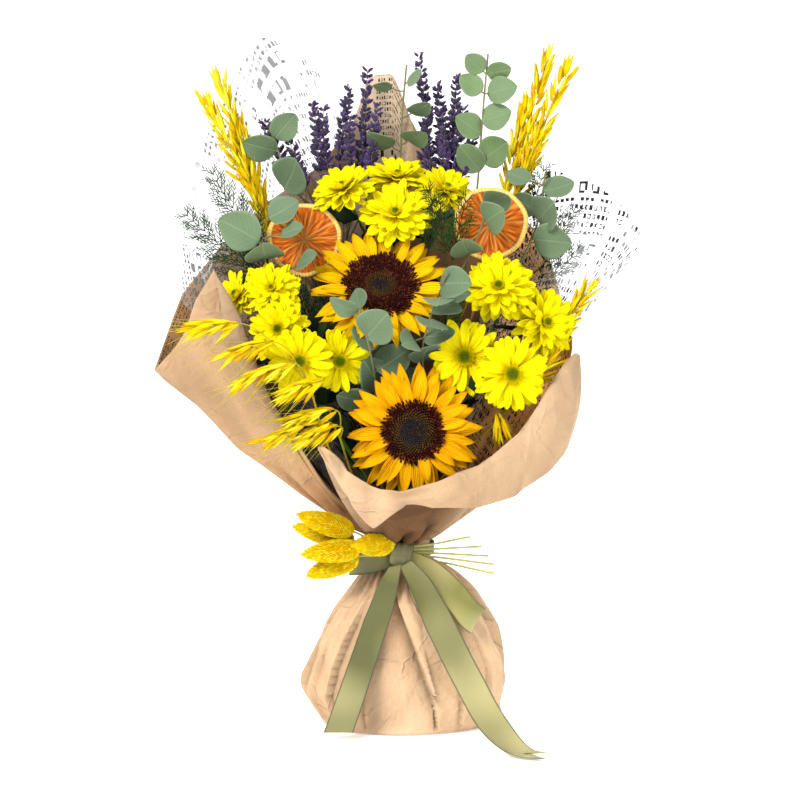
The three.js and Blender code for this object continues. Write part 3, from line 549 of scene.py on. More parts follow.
def areaOf(p):
    a = np.cross(np.diff(p, axis=0)[:, :-1], np.diff(p, axis=1)[:-1])
    return float(np.linalg.norm(a, axis=-1).sum()) * mm * mm


def fromNeck(p, reach):
    return ease((p[..., 2] - neckTop) / reach)


backSheet = {
    "rays": [
        [-32, [150, -22, 336], [106, -26, 230]], [-22, [154, -8, 350], [120, -10, 226]],
        [-10, [152, 6, 364], [114, 6, 227]], [12, [140, 28, 412], [90, 26, 242]],
        [32, [122, 46, 448], [70, 38, 266]], [52, [88, 64, 468], [48, 46, 286]],
        [70, [40, 78, 494], [24, 50, 300]], [80, [10, 82, 548], [8, 51, 306]],
        [88, [-8, 84, 590], [-2, 52, 310]], [98, [-28, 84, 588], [-14, 52, 310]],
        [106, [-46, 80, 540], [-26, 50, 300]], [114, [-80, 72, 502], [-36, 46, 290]],
        [130, [-120, 60, 474], [-60, 38, 270]],
        [148, [-164, 44, 432], [-82, 26, 250]], [162, [-198, 22, 388], [-96, 14, 236]],
        [174, [-222, -2, 318], [-106, -2, 220]], [182, [-221, -14, 320], [-108, -14, 216]],
        [190, [-200, -28, 342], [-104, -28, 219]], [197, [-186, -38, 360], [-100, -38, 222]],
        [203, [-178, -44, 386], [-96, -46, 224]], [208, [-162, -48, 412], [-90, -52, 228]],
        [213, [-156, -54, 382], [-86, -58, 232]], [218, [-154, -60, 350], [-80, -64, 236]],
    ],
    "pleats": 24, "pleatDepth": 2.6, "waves": 3.4, "facets": 4.2, "across": 300, "along": 140,
}


def buildBackSheet():
    s = backSheet
    p, angle = fanGrid(s["rays"], tie["back"], s["across"], s["along"], crisp=0.85)
    flat = mapOf(p)
    rise = fromNeck(p, 60)
    fade = ease((p[..., 2] - neckTop) / 14) * (1 - 0.8 * ease((p[..., 2] - neckTop) / 150))
    fold = np.sin(np.radians(angle)[:, None] * s["pleats"] + wobble(flat, 240, 4) * 1.6)
    push = s["pleatDepth"] * np.sign(fold) * np.abs(fold) ** 0.7 * fade
    push += s["waves"] * wobble(flat, 190, 5) * rise
    push += s["facets"] * crumple(flat, 60, 11, (0.8, 1.7)) * rise
    p = p + normalsOf(p) * push[..., None]
    inked = ease((44 - np.abs(angle - 4)) / 10) + ease((14 - np.abs(angle - 92)) / 8)
    inked += 1.6 * ease((20 - np.abs(angle - 158)) / 6)
    inked = np.broadcast_to(np.clip(inked, 0, 1)[:, None], p.shape[:2]) * ease((p[..., 2] - 205) / 30)
    # painted shade: the sheet darker toward the neck where it gathers, and in the fold hollows
    gatherAndFoldShade = (1 - 0.42 * (1 - ease((p[..., 2] - neckTop) / 46))) * foldShade(push, 0.07)
    shade = gatherAndFoldShade[..., None] * np.ones(3)
    peak = ease((18 - np.abs(angle - 92)) / 10)[:, None, None] * ease((p[..., 2:] - 440) / 40)
    # painted shade on the inside face: browner and darker overall, and darkest low and central in the pocket
    pocketShade = 0.34 + 0.46 * ease((p[..., 2:] - 300) / 120) + 0.2 * ease((np.abs(p[..., :1]) - 90) / 60)
    inner = np.array([0.82, 0.66, 0.48]) * np.clip(pocketShade, 0, 1)
    # the wing's inside face, turned to the front, gets a light colour in place of the inner painted shade;
    # painted shade darkens it toward its top near the apex
    outer = ease((angle - 168) / 10)[:, None, None] * ease((p[..., 2:] - 215) / 40)
    # the newsprint sheet's paler paper, raised above the paper's full colour as painted light where the pocket
    # is in shade
    printed = ease((44 - angle) / 16)[:, None, None] * ease((p[..., 2:] - 205) / 24)
    inner = inner * (1 - printed) + np.array([2.3, 1.8, 1.15]) * printed
    apexShade = 1 - 0.24 * ease((p[..., 2:] - 338) / 14)
    inner = inner * (1 - outer) + np.array([0.95, 0.93, 0.88]) * apexShade * outer
    inner = inner * (1 - peak) + np.array([1.3, 1.46, 1.7]) * peak
    inside = np.concatenate([shade * inner, inked[..., None]], -1)
    wing = ease((angle - 166) / 12)[:, None]
    # painted shade: the wing's outside darker and warmer toward the neck
    wingNeckShade = wing * (1 - ease((p[..., 2] - neckTop) / 110))
    outside = mixTint([1, 1, 1], [0.87, 0.82, 0.76], wing) * mixTint([1, 1, 1], [0.86, 0.68, 0.5], wingNeckShade)
    outside = np.concatenate([shade * outside, np.zeros_like(inked)[..., None]], -1)
    # the outside comes first where the grid's own normal points outwards
    outward = (normalsOf(p)[5, -5] * p[5, -5]).sum() > 0
    pile = newPile()
    first, second = (outside, inside) if outward else (inside, outside)
    putShells(pile, p[None], kraft["thickness"], flat / 100, first, second)
    made = makeObject(pile, "paper_back", kraftPaper, ["wrap_back"])
    return made, areaOf(p)


# Rays of the front sheet: [angle at the neck, rim, free edge of the flap].
frontSheet = {
    "rays": [
        [222, [-66, -104, 266], [-60, -110, 256]], [236, [-44, -112, 242], [-38, -114, 214]],
        [247, [-24, -117, 231], [-21, -112, 196]], [262, [0, -121, 226], [4, -119, 219]],
        [278, [34, -121, 236], [26, -118, 213]], [292, [66, -114, 246], [62, -110, 212]],
        [306, [100, -98, 274], [92, -94, 220]], [320, [128, -76, 308], [122, -72, 238]],
        [334, [153, -44, 336], [142, -52, 256]],
    ],
    "foldReach": 3.4, "pleats": 19, "pleatDepth": 4.8, "facets": 3.0, "across": 300,
    "wall": 90, "fold": 9, "flap": 40,
}


def buildFrontSheet():
    s = frontSheet
    corners = [[*r[1], *r[2], r[0]] for r in s["rays"]]
    table = 0.3 * through(corners, s["across"]) + 0.7 * straight(corners, s["across"])
    rim, edge, angle = table[:, :3], table[:, 3:6], table[:, 6]
    out = unit(rim * [1, 1, 0])
    low = neckAt(angle, tie["front"], tie["height"] + 1.2)
    start = neckAt(angle, tie["front"], neckTop)
    stand = low[:, None] + np.linspace(0, 1, 4)[None, :-1, None] * (start - low)[:, None]
    t = np.linspace(0, 1, s["wall"])[None, :, None]
    hollow = np.array([0, 0, -10.0]) + out * 5
    wall = start[:, None] * (1 - t) + rim[:, None] * t + 4 * t * (1 - t) * hollow[:, None]
    a = np.linspace(0, math.pi, s["fold"] + 2)[None, 1:-1, None]
    roll = s["foldReach"] / 2
    fold = rim[:, None] + out[:, None] * roll * (1 - np.cos(a)) + np.array([0, 0, 1.0]) * roll * np.sin(a)
    free = edge + out * (s["foldReach"] + 3)
    top = rim + out * s["foldReach"]
    f = np.linspace(0, 1, s["flap"])[None, :, None]
    bow = out[:, None] * 5 * np.sin(f * math.pi)
    flap = top[:, None] * (1 - f) + free[:, None] * f + bow
    p = np.concatenate([stand, wall, fold, flap], 1)
    flat = mapOf(p)
    rise = np.zeros(p.shape[:2])
    wallLast = 3 + s["wall"]
    rise[:, 3:wallLast] = ease(np.linspace(0, 1, s["wall"]) * 3)
    rise[:, wallLast:] = 1
    pleat = np.zeros(p.shape[:2])
    pleat[:, 3:wallLast] = ease(np.linspace(0, 8, s["wall"])) * (1 - ease(np.linspace(0, 1.5, s["wall"])))
    wave = np.sin(np.radians(angle)[:, None] * s["pleats"] + wobble(flat, 120, 21) * 2.2)
    push = s["pleatDepth"] * np.sign(wave) * np.abs(wave) ** 0.6 * pleat
    push += s["facets"] * crumple(flat, 46, 31, (0.7, 1.3)) * rise * 0.8 + 1.4 * wobble(flat, 90, 8) * rise
    p = p + normalsOf(p) * push[..., None]
    pile = newPile()
    folded = foldShade(push, 0.24)
    # painted shade: the wall darker low down, and deep brown at the front where the paper gathers under the
    # flap
    low = 1 - ease((p[..., 2] - neckTop - 36) / 44)
    heart = np.exp(-((angle - 268) / 30) ** 4)[:, None] * low
    heart[:, wallLast:] = 0
    gatherShade = mixTint([1, 0.985, 0.96], [0.36, 0.25, 0.155], np.clip(heart, 0, 1))
    folded[:, :wallLast] *= (1 - 0.25 * low)[:, :wallLast]
    # painted shadow of the flap on the wall just below its fold
    under = np.ones(p.shape[:2])
    under[:, wallLast - 30:wallLast] = 0.8
    shade = np.concatenate([(folded * under)[..., None] * gatherShade, np.zeros((*p.shape[:2], 1))], -1)
    putShells(pile, p[None], kraft["thickness"], flat / 100, shade)
    made = makeObject(pile, "paper_collar", kraftPaper, ["wrap_front"])
    return made, areaOf(p)


# The lower run of the paper. Outline: [height, half width on the left, on the right].
# Folds: [angle at the neck, angle low down, how high it starts, depth, width in degrees, which side is proud].
foot = {
    "outline": [
        [0.4, 50, 60], [0.5, 68, 83], [4, 72, 87], [12, 77, 88],
        [22, 82, 89], [34, 85, 90], [58, 78, 90], [88, 66, 83],
        [108, 54, 73], [121, 45, 64], [138, 34, 48], [149, 29.0, 32],
        [151, 28.8, 28.8], [158.8, 28.8, 28.8],
    ],
    "folds": [
        [-103, -64, 146, 9.5, 36, 1], [-60, -52, 140, 6.5, 22, 1],
        [-128, -134, 130, 6, 26, -1], [-30, -24, 150, 7, 20, -1],
        [-158, -150, 150, 7, 24, 1], [8, 2, 150, 7, 24, 1],
        [38, 46, 140, 6.5, 24, -1], [72, 66, 150, 8, 28, 1],
        [104, 112, 140, 6.5, 24, -1], [140, 134, 150, 7.5, 26, 1],
        [172, 178, 140, 6, 22, -1], [-108, -112, 90, 4, 14, 1],
        [-74, -70, 80, 3.6, 14, -1], [-44, -38, 100, 4, 12, 1], [-142, -146, 100, 3.5, 12, -1],
    ],
    "depth": 57, "fine": 29, "fineDepth": 2.4, "facets": 5.4, "around": 540, "rows": 150,
}


def foldPush(a, z):
    push = np.zeros(np.broadcast(a, z).shape)
    for top, low, start, depth, width, side in foot["folds"]:
        share = np.clip(z / start, 0, 1)
        line = np.radians(low + (top - low) * share ** 1.4) + 0.03 * np.sin(z / 31 + top)
        off = ((a - line + math.pi) % turnFull - math.pi) * side
        wide = math.radians(width) * (1.15 - 0.5 * share)
        proud = np.exp(-(np.clip(off, 0, None) / wide) ** 1.6)
        tuck = -0.55 * np.exp(-(np.clip(-off, 0, None) / (0.7 * wide)) ** 1.6)
        swell = ease((start + 6 - z) / 46) * (0.35 + 0.65 * ease((z - 2) / 40))
        push += depth * swell * np.where(off > 0, proud, tuck)
    return push


def buildFoot():
    s = foot
    table = np.array(s["outline"], float)
    table = np.c_[table[:, 1], table[:, 0], table[:, 2]]
    table = (0.5 * through(table, s["rows"]) + 0.5 * straight(table, s["rows"]))[:, [1, 0, 2]]
    z = np.clip(table[:, 0], 0.4, tie["height"] - 1.2)[:, None]
    a = np.linspace(0, turnFull, s["around"], endpoint=False)[None]
    side = 0.5 + 0.5 * np.cos(a)
    wide = table[:, 1:2] * (1 - side) + table[:, 2:3] * side
    share = np.clip((np.maximum(table[:, 1], table[:, 2]) - tie["front"]) / 62, 0, 1)[:, None]
    deep = tie["front"] + (s["depth"] - tie["front"]) * share ** 0.8
    deep = np.where(z < 1, deep * 0.8, deep)
    flat = np.stack(np.broadcast_arrays(a * 62, z * 1.2), -1)
    push = foldPush(a, z) - 1.6
    tight = ease((tie["height"] - 9 - z) / 9)
    free = ease((tie["height"] - 14 - z) / 40)
    gather = np.sin(a * s["fine"] + wobble(flat, 90, 6) * 1.7)
    push = push + s["fineDepth"] * np.sign(gather) * np.abs(gather) ** 0.6 * tight * (1 - 0.9 * free)
    push = push + s["facets"] * crumple(flat, 34, 41, (0.8, 2.2)) * free
    push = push * ease((z - 0.3) / 8)
    wide, deep = wide + push, deep + push
    p = np.stack([wide * np.cos(a), deep * np.sin(a), np.broadcast_to(z, wide.shape)], -1)
    p = np.concatenate([p, p[:, :1]], 1).transpose(1, 0, 2)
    folded = foldShade(push, 0.085, 14)
    folded = np.concatenate([folded, folded[:, :1]], 1).transpose(1, 0)
    around = np.degrees(np.arctan2(p[..., 1], p[..., 0]))
    # painted shade: darker in the fold hollows, in the recess left of the central pleat and toward the tie;
    # the whole foot's tint is 1.17 times the paper
    recessShade = np.exp(-((around + 112) / 9) ** 2) * ease((118 - p[..., 2]) / 50)
    dim = 1.17 * (1 - 0.36 * ease((p[..., 2] - 112) / 38)) * folded * (1 - 0.34 * recessShade)
    flat = mapOf(p)
    pile = newPile()
    shade = np.concatenate([dim[..., None] * np.ones(3), np.zeros((*p.shape[:2], 1))], -1)
    putShells(pile, p[None], kraft["thickness"], flat / 100, shade)
    made = makeObject(pile, "paper_foot", kraftPaper, ["wrap_foot"])
    front = p[p[..., 1] < 0]
    return made, areaOf(p), front.reshape(-1, 3)


# Keeps a strip just in front of the paper it hangs over.
def hangBefore(strip, front, clear):
    flat = strip.reshape(-1, 3)
    limit = np.full(len(flat), 1e9)
    for k, (x, _, z) in enumerate(flat):
        near = (np.abs(front[:, 0] - x) < 5) & (np.abs(front[:, 2] - z) < 5)
        if near.any():
            limit[k] = front[near, 1].min() - clear
    limit = limit.reshape(strip.shape[:2])
    wanted = np.minimum(limit.min(1), strip[..., 1].min(1))
    span = 12
    for blend in (np.min, np.mean):
        padded = np.r_[np.full(span, wanted[0]), wanted, np.full(span, wanted[-1])]
        wanted = blend(np.lib.stride_tricks.sliding_window_view(padded, 2 * span + 1), axis=1)
    moved = strip.copy()
    moved[..., 1] += (wanted - strip[..., 1].min(1)).clip(None, 0)[:, None]
    return moved


# ---- printed clear film ----
film = {
    "clear": rgb(236, 240, 242), "ink": rgb(22, 24, 26), "clearAlpha": 0.06,
    "inkAlpha": 0.9, "leftInk": 0.8, "rightInk": 1.0, "thickness": 0.25,
    "left": [
        [96, [-50, 76, 560], [-24, 46, 320]], [108, [-90, 74, 602], [-40, 42, 320]],
        [120, [-126, 64, 622], [-56, 40, 320]], [134, [-164, 50, 566], [-74, 32, 300]],
        [148, [-200, 34, 484], [-92, 24, 280]], [160, [-204, 12, 384], [-94, 12, 250]],
    ],
    "right": [
        [14, [178, -8, 380], [50, -4, 300]], [26, [222, 4, 444], [58, 4, 320]],
        [40, [184, 22, 486], [56, 16, 316]], [56, [128, 43, 502], [48, 26, 312]],
    ],
}


def makeFilmMaterial():
    made, tree, body, places, tint = newMaterial("printed_film", {"IOR": 1.4, "Specular IOR Level": 0.4})
    dents = placeGroup(tree, crinkle, {"Place": places["Object"], "Crease Size": 30.0, "Fibre Size": 300.0})
    turned = addNode(tree, "Mapping", {0: places["UV"], 2: (0, 0, 0.5)}).outputs[0]
    ink = placeGroup(tree, newsprint, {"Map": turned, "Line Pitch": 0.082, "Bold": 0.3, "Column": 0.7})["Ink"]
    patch = noiseAt(tree, places["Object"], 11.0, 2.0)
    shown = calc(tree, "MULTIPLY", tint["Alpha"], spanTo(tree, patch, 0.3, 0.46, 0.45, 1.0))
    faded = calc(tree, "MULTIPLY", ink, shown)
    colour = mixColour(tree, faded, (*film["clear"], 1), (*film["ink"], 1))
    glint = calc(tree, "MULTIPLY_ADD", dents["Crease"], 0.25, film["clearAlpha"])
    alpha = calc(tree, "ADD", calc(tree, "MULTIPLY", faded, film["inkAlpha"] - film["clearAlpha"]), glint)
    rough = calc(tree, "MULTIPLY_ADD", dents["Cloud"], 0.2, 0.12)
    feed(tree, body, colour=colour, rough=rough, alpha=alpha)
    bumpOf(tree, body, dents["Height"], 0.002)
    return made


filmSheet = makeFilmMaterial()


def buildFilm(side):
    p, angle = fanGrid(film[side], tie["film"], 120, 110)
    flat = mapOf(p)
    rise = fromNeck(p, 130)
    seed = {"left": 51, "right": 61}[side]
    push = 3.2 * wobble(flat, 130, seed) * rise + 2.2 * crumple(flat, 55, seed + 3, (0.8, 1.5)) * rise
    p = p + normalsOf(p) * push[..., None]
    p = p - np.stack([0.035 * p[..., 0], 6.0 + 0 * rise, 0 * rise], -1) * rise[..., None]
    pile = newPile()
    putShells(pile, p[None], film["thickness"], flat / 100, (1, 1, 1, film[side + "Ink"]))
    made = makeObject(pile, f"film_sheet_{side}", filmSheet, [f"film_{side}"])
    return made, areaOf(p)


# ---- satin ribbon ----
ribbon = {
    "body": rgb(112, 114, 56), "light": rgb(222, 212, 146),
    "edge": rgb(78, 80, 34), "width": 26, "thickness": 0.45,
}


def makeSatinMaterial():
    made, tree, body, places, tint = newMaterial("satin_ribbon", {
        "Anisotropic": 0.5, "Specular IOR Level": 0.7, "Sheen Weight": 0.1, "Sheen Roughness": 0.4})
    part = addNode(tree, "SeparateXYZ", {0: places["UV"]}).outputs
    rib = addNode(tree, "TexWave", {"Vector": places["UV"], "Scale": 60.0, "Distortion": 0.6, "Detail": 1.0},
                  bands_direction="Y").outputs["Fac"]
    sweep = noiseAt(tree, places["Object"], 11.0, 1.0)
    toEdge = calc(tree, "ABSOLUTE", calc(tree, "SUBTRACT", part[0], 0.5))
    selvedge = spanTo(tree, toEdge, 0.445, 0.47)
    # painted sheen: broad noise patches lighten the olive satin toward a pale gold, as if catching light
    clothAndPaintedSheen = mixColour(tree, spanTo(tree, sweep, 0.38, 0.66), (*ribbon["body"], 1), (*ribbon["light"], 1))
    ribbed = mixColour(tree, calc(tree, "MULTIPLY", rib, 0.1), clothAndPaintedSheen, (*ribbon["edge"], 1))
    edged = mixColour(tree, calc(tree, "MULTIPLY", selvedge, 0.75), ribbed, (*ribbon["edge"], 1))
    colour = mixColour(tree, 1.0, edged, tint["Color"], "MULTIPLY")
    gloss = spanTo(tree, sweep, 0.3, 0.7, 0.28, 0.42)
    rough = calc(tree, "ADD", calc(tree, "MULTIPLY", selvedge, 0.2), gloss)
    feed(tree, body, colour=colour, rough=rough)
    bumpOf(tree, body, calc(tree, "ADD", calc(tree, "MULTIPLY", rib, 0.5), selvedge), 0.00035)
    return made


satin = makeSatinMaterial()


# A strip along points, with the way across it at each; returns the grid (along, across).
def stripGrid(points, across, width, along=90, lanes=15, cup=0.0, tipCut=None):
    table = through(np.hstack([np.asarray(points, float), unit(across)]), along)
    path, side = table[:, :3], unit(table[:, 3:])
    lane = np.linspace(-0.5, 0.5, lanes)
    shift = np.zeros((along, lanes))
    if tipCut is not None:
        last = ease((np.arange(along) / (along - 1) - 0.85) / 0.15)
        shift = last[:, None] * tipCut(lane)[None]
    way = unit(np.gradient(path, axis=0))
    face = unit(np.cross(side, way))
    width = np.broadcast_to(width, along)
    p = path[:, None] + side[:, None] * (lane[None] * width[:, None])[..., None]
    p = p + way[:, None] * shift[..., None]
    return p + face[:, None] * (cup * (1 - 4 * lane ** 2))[None, :, None]


def stripMap(p):
    v = np.r_[0, np.cumsum(np.linalg.norm(np.diff(p[:, p.shape[1] // 2], axis=0), axis=1))]
    u = np.linspace(0, 1, p.shape[1])
    return np.stack(np.meshgrid(v / ribbon["width"], u, indexing="ij"), -1)[..., ::-1]


bow = {
    "knot": [1, -42, 161], "knotSize": [10, 5.5, 10.5],
    "right": [[4, -39, 158], [24, -46, 146], [48, -56, 126], [63, -58, 108], [69, -54, 103], [66, -49, 104],
              [48, -45, 122], [24, -39, 142], [6, -35, 156]],
    "left": [[-3, -37, 156], [-16, -41, 154], [-34, -34, 151], [-44, -28, 149], [-42, -24, 148],
             [-28, -27, 149], [-8, -32, 153]],
}
tails = {
    "left": [[-4, -38, 152], [-9, -42, 140], [-18, -48, 112], [-33, -61, 68], [-46, -68, 30], [-54, -70, 7]],
    "leftAcross": [[1, -0.1, 0.25], [1, 0, 0.25], [1, 0, 0.25], [1, 0.05, 0.15], [1, 0, 0.05], [1, 0, 0]],
    "right": [[5, -40, 154], [14, -45, 142], [34, -58, 104], [58, -72, 58], [80, -83, 22], [98, -100, 6],
              [114, -118, 2.4], [128, -126, 2]],
    "rightAcross": [[0.9, -0.1, 0.5], [0.9, 0, 0.6], [0.9, 0, 0.55], [0.92, 0, 0.42], [0.95, 0.1, 0.25],
                    [0.9, 0.45, 0], [0.75, 0.66, 0], [0.6, 0.8, 0]],
}


# Each strip's tint paints light and shade on the one satin: above 1 where lit, below 1 where shaded.
def ribbonPiece(name, grids, node, paintedLightAndShade=((1, 1, 1),) * 3):
    pile = newPile()
    for p, tone in zip(grids, paintedLightAndShade):
        putShells(pile, p[None], ribbon["thickness"], stripMap(p), tone)
    made = makeObject(pile, name, satin, [node] if node else ())
    return made


def buildRibbon():
    a = np.linspace(0, turnFull, 160)
    lane = np.linspace(-0.5, 0.5, 18)
    crease = 0.35 * np.sin(lane[None] * 16 + 0.8 * np.sin(a * 3)[:, None])
    radius = tie["outer"] - 0.4 + crease * 0.6
    z = tie["height"] + lane[None] * tie["bandHeight"] * (0.62 + 0.08 * np.sin(a * 4)[:, None])
    band = np.stack([radius * np.cos(a)[:, None], radius * np.sin(a)[:, None], z], -1)
    # painted shade: the band round the neck darker
    ribbonPiece("ribbon_round_neck", [band], "ribbon_band",
                [(0.72, 0.72, 0.72)])
    across = np.array([[0.5, 0, 1], [0.6, 0.05, 1], *[[0.62, 0.1, 1]] * 5, [0.6, 0.05, 1], [0.5, 0, 1]])
    width = np.interp(np.linspace(0, 1, 110), [0, 0.15, 0.5, 0.85, 1], [15, 25, 26, 25, 14])
    right = stripGrid(bow["right"], across, width, along=110, cup=1.2)
    ways = np.array([[lean, 0, 1] for lean in (0, 0.05, 0.12, 0.14, 0.14, 0.1, 0)])
    width = np.interp(np.linspace(0, 1, 90), [0, 0.25, 0.5, 0.8, 1], [11, 18, 20, 17, 10])
    left = stripGrid(bow["left"], ways, width, along=90, cup=1.0)
    cx, cy, cz = bow["knot"]
    sx, sy, sz = bow["knotSize"]
    turn = np.linspace(0, turnFull, 60)
    lane = np.linspace(-1, 1, 15)
    fold = 1 + 0.07 * np.sin(lane * 9)[None]
    pinch = np.sqrt(np.clip(1 - 0.55 * lane ** 2, 0.1, 1))[None] * fold
    knot = np.stack([
        cx + sx * lane[None] + 1.5 * np.sin(turn)[:, None], cy - sy * np.cos(turn)[:, None] * pinch,
        cz + sz * np.sin(turn)[:, None] * pinch], -1)
    # painted light on the right loop, painted shade on the left loop and the knot
    ribbonPiece("ribbon_bow_tied", [right, left, knot], "ribbon_bow",
                [(1.75, 1.66, 1.6), (0.74, 0.74, 0.74), (0.66, 0.66, 0.66)])
    width = np.interp(np.linspace(0, 1, 100), [0, 0.12, 0.3, 1], [12, 20, 26, 26])
    short = stripGrid(tails["left"], tails["leftAcross"], width, along=100, cup=0.8)
    short = hangBefore(short, footFront, 1.6)
    ribbonPiece("ribbon_tail_short", [short], "ribbon_tail_left")
    width = np.interp(np.linspace(0, 1, 140), [0, 0.1, 0.25, 1], [12, 20, 26, 26])
    notched = stripGrid(tails["right"], tails["rightAcross"], width, along=140, cup=0.9,
                        tipCut=lambda lane: np.abs(lane) * 46 - 20)
    notched = hangBefore(notched, footFront, 1.6)
    ribbonPiece("ribbon_tail_long", [notched], "ribbon_tail_right")


# ---- stems, gathered slot by slot at the tie ----
def tiePoint(slot, spreadX=1.0, spreadY=1.0, z=None):
    rowPitch = tie["pitch"] * math.sqrt(0.75)
    return [slot[0] * tie["pitch"] * spreadX, slot[1] * rowPitch * spreadY, tie["height"] if z is None else z]


def stemPath(slot, above):
    cut = tiePoint(slot, tie["splayX"], tie["splayY"], tie["cut"])
    under = tiePoint(slot, z=tie["height"] - 6)
    over = tiePoint(slot, z=tie["height"] + 6)
    return [cut, under, over, tiePoint(slot, 1.12, 1.12, tie["height"] + 24), *above]


def forkOf(above):
    last, before = np.array(above[-1], float), np.array(above[-2], float)
    return last - 3 * unit(last - before)


stemSkin = plantMaterial("green_stem", veins=14, depth=0.5, mottle=0.5, size=160, rough=0.55, bump=0.0005)
stemTints = {"green": rgb(86, 128, 52), "dark": rgb(58, 92, 44), "straw": rgb(216, 196, 96)}


# Petals about +Z as grids (count, along, across, 3), and how far along and across each point is.
def petals(dice, count, inner, length, width, outline, lift, curl, cup, turn=0.0, along=18, lanes=9,
           spread=0.1, base=0.0):
    t = np.linspace(0, 1, along)[None, :, None]
    c = np.linspace(-1, 1, lanes)[None, None, :]
    one = np.ones((count, 1, 1))
    size = length * (1 + dice.uniform(-spread, spread * 0.7, (count, 1, 1)))
    at = (np.arange(count) + dice.uniform(-0.22, 0.22, count)) / count * turnFull + turn
    half = width / 2 * np.interp(t, outline[0], outline[1]) * (1 + dice.uniform(-0.12, 0.12, (count, 1, 1)))
    up = math.radians(lift) + dice.uniform(-0.13, 0.13, (count, 1, 1))
    bend = curl * (1 + dice.uniform(-0.7, 0.7, (count, 1, 1)))
    sway = dice.uniform(-0.12, 0.12, (count, 1, 1)) * size
    roll = dice.uniform(-0.35, 0.35, (count, 1, 1))
    run = size * (t * np.cos(up) - 0.12 * np.abs(bend) * t ** 3)
    rise = base + size * (np.sin(up) * t + bend * t ** 2.2)
    w = half * c
    folded = cup * half * (c ** 2 - 0.4) + half * 0.07 * np.cos(c * 7.5) * np.sin(t * math.pi)
    frill = dice.uniform(-1, 1, (count, 1, 1)) * 0.05 * size
    frill = frill * np.sin(t * 6 + dice.uniform(0, 6, (count, 1, 1))) * c
    x = inner + run
    y = w * np.cos(roll * t) + sway * t ** 2
    z = rise + w * np.sin(roll * t) + folded + frill
    ca, sa = np.cos(at)[:, None, None], np.sin(at)[:, None, None]
    p = np.stack([x * ca - y * sa, x * sa + y * ca, z * one], -1)
    uv = np.stack(np.broadcast_arrays(0.5 + 0.5 * c * one, t * one), -1)
    return p, np.broadcast_to(t, p.shape[:3]), np.broadcast_to(c, p.shape[:3]), uv


def basisOf(facing):
    z = unit(facing)
    x = unit(np.cross([0, 1, 0] if abs(z[2]) > 0.98 else [0, 0, 1], z))
    return np.array([x, np.cross(z, x), z])


def mixTint(a, b, share):
    share = np.asarray(share)[..., None]
    return np.asarray(a) * (1 - share) + np.asarray(b) * share


# ---- sunflowers ----
sunflower = {
    "outline": ([0, 0.15, 0.35, 0.5, 0.7, 0.86, 0.95, 1], [0.5, 0.74, 0.97, 1, 0.8, 0.46, 0.2, 0.03]),
    "gold": rgb(244, 176, 0), "deep": rgb(228, 118, 0), "light": rgb(250, 200, 0),
    "fringe": rgb(62, 18, 12), "ring": rgb(74, 56, 24), "eye": rgb(44, 44, 46), "pollen": rgb(112, 62, 26),
    "heads": {
        "upper": {
            "slot": [0, 0], "above": [[-8, -12, 260], [-15, -22, 340]],
            "facing": [0.05, -0.8, 0.6], "radius": 62,
            "disc": 31, "count": 23, "seed": 5, "eyeShare": 0.14,
            "ringShare": 0.34, "glow": (1.0, 1.2, 1.0),
        },
        "lower": {
            "slot": [0, -2], "above": [[4, -32, 215], [9, -58, 258]],
            "facing": [0.02, -1, 0.06], "radius": 58,
            "disc": 24.5, "count": 22, "seed": 9, "eyeShare": 0.4,
            "ringShare": 0.62, "glow": (1.0, 1.0, 1.0),
        },
    },
}
petalSkin = plantMaterial("sunflower_petal", veins=7, depth=0.7, mottle=0.16, size=70, rough=0.5, bump=0.0009,
                          shader={"Specular IOR Level": 0.06})
discSkin = plantMaterial("sunflower_disc", veins=3, depth=0.4, mottle=0.9, size=420, rough=0.75, bump=0.0006)
budShape = lathe([[0.02, 0], [0.42, 0.18], [0.5, 0.5], [0.34, 0.82], [0.02, 1]], 6)
spikeShape = lathe([[0.02, 0], [0.3, 0.1], [0.42, 0.55], [0.5, 0.78], [0.22, 0.95], [0.01, 1]], 5)


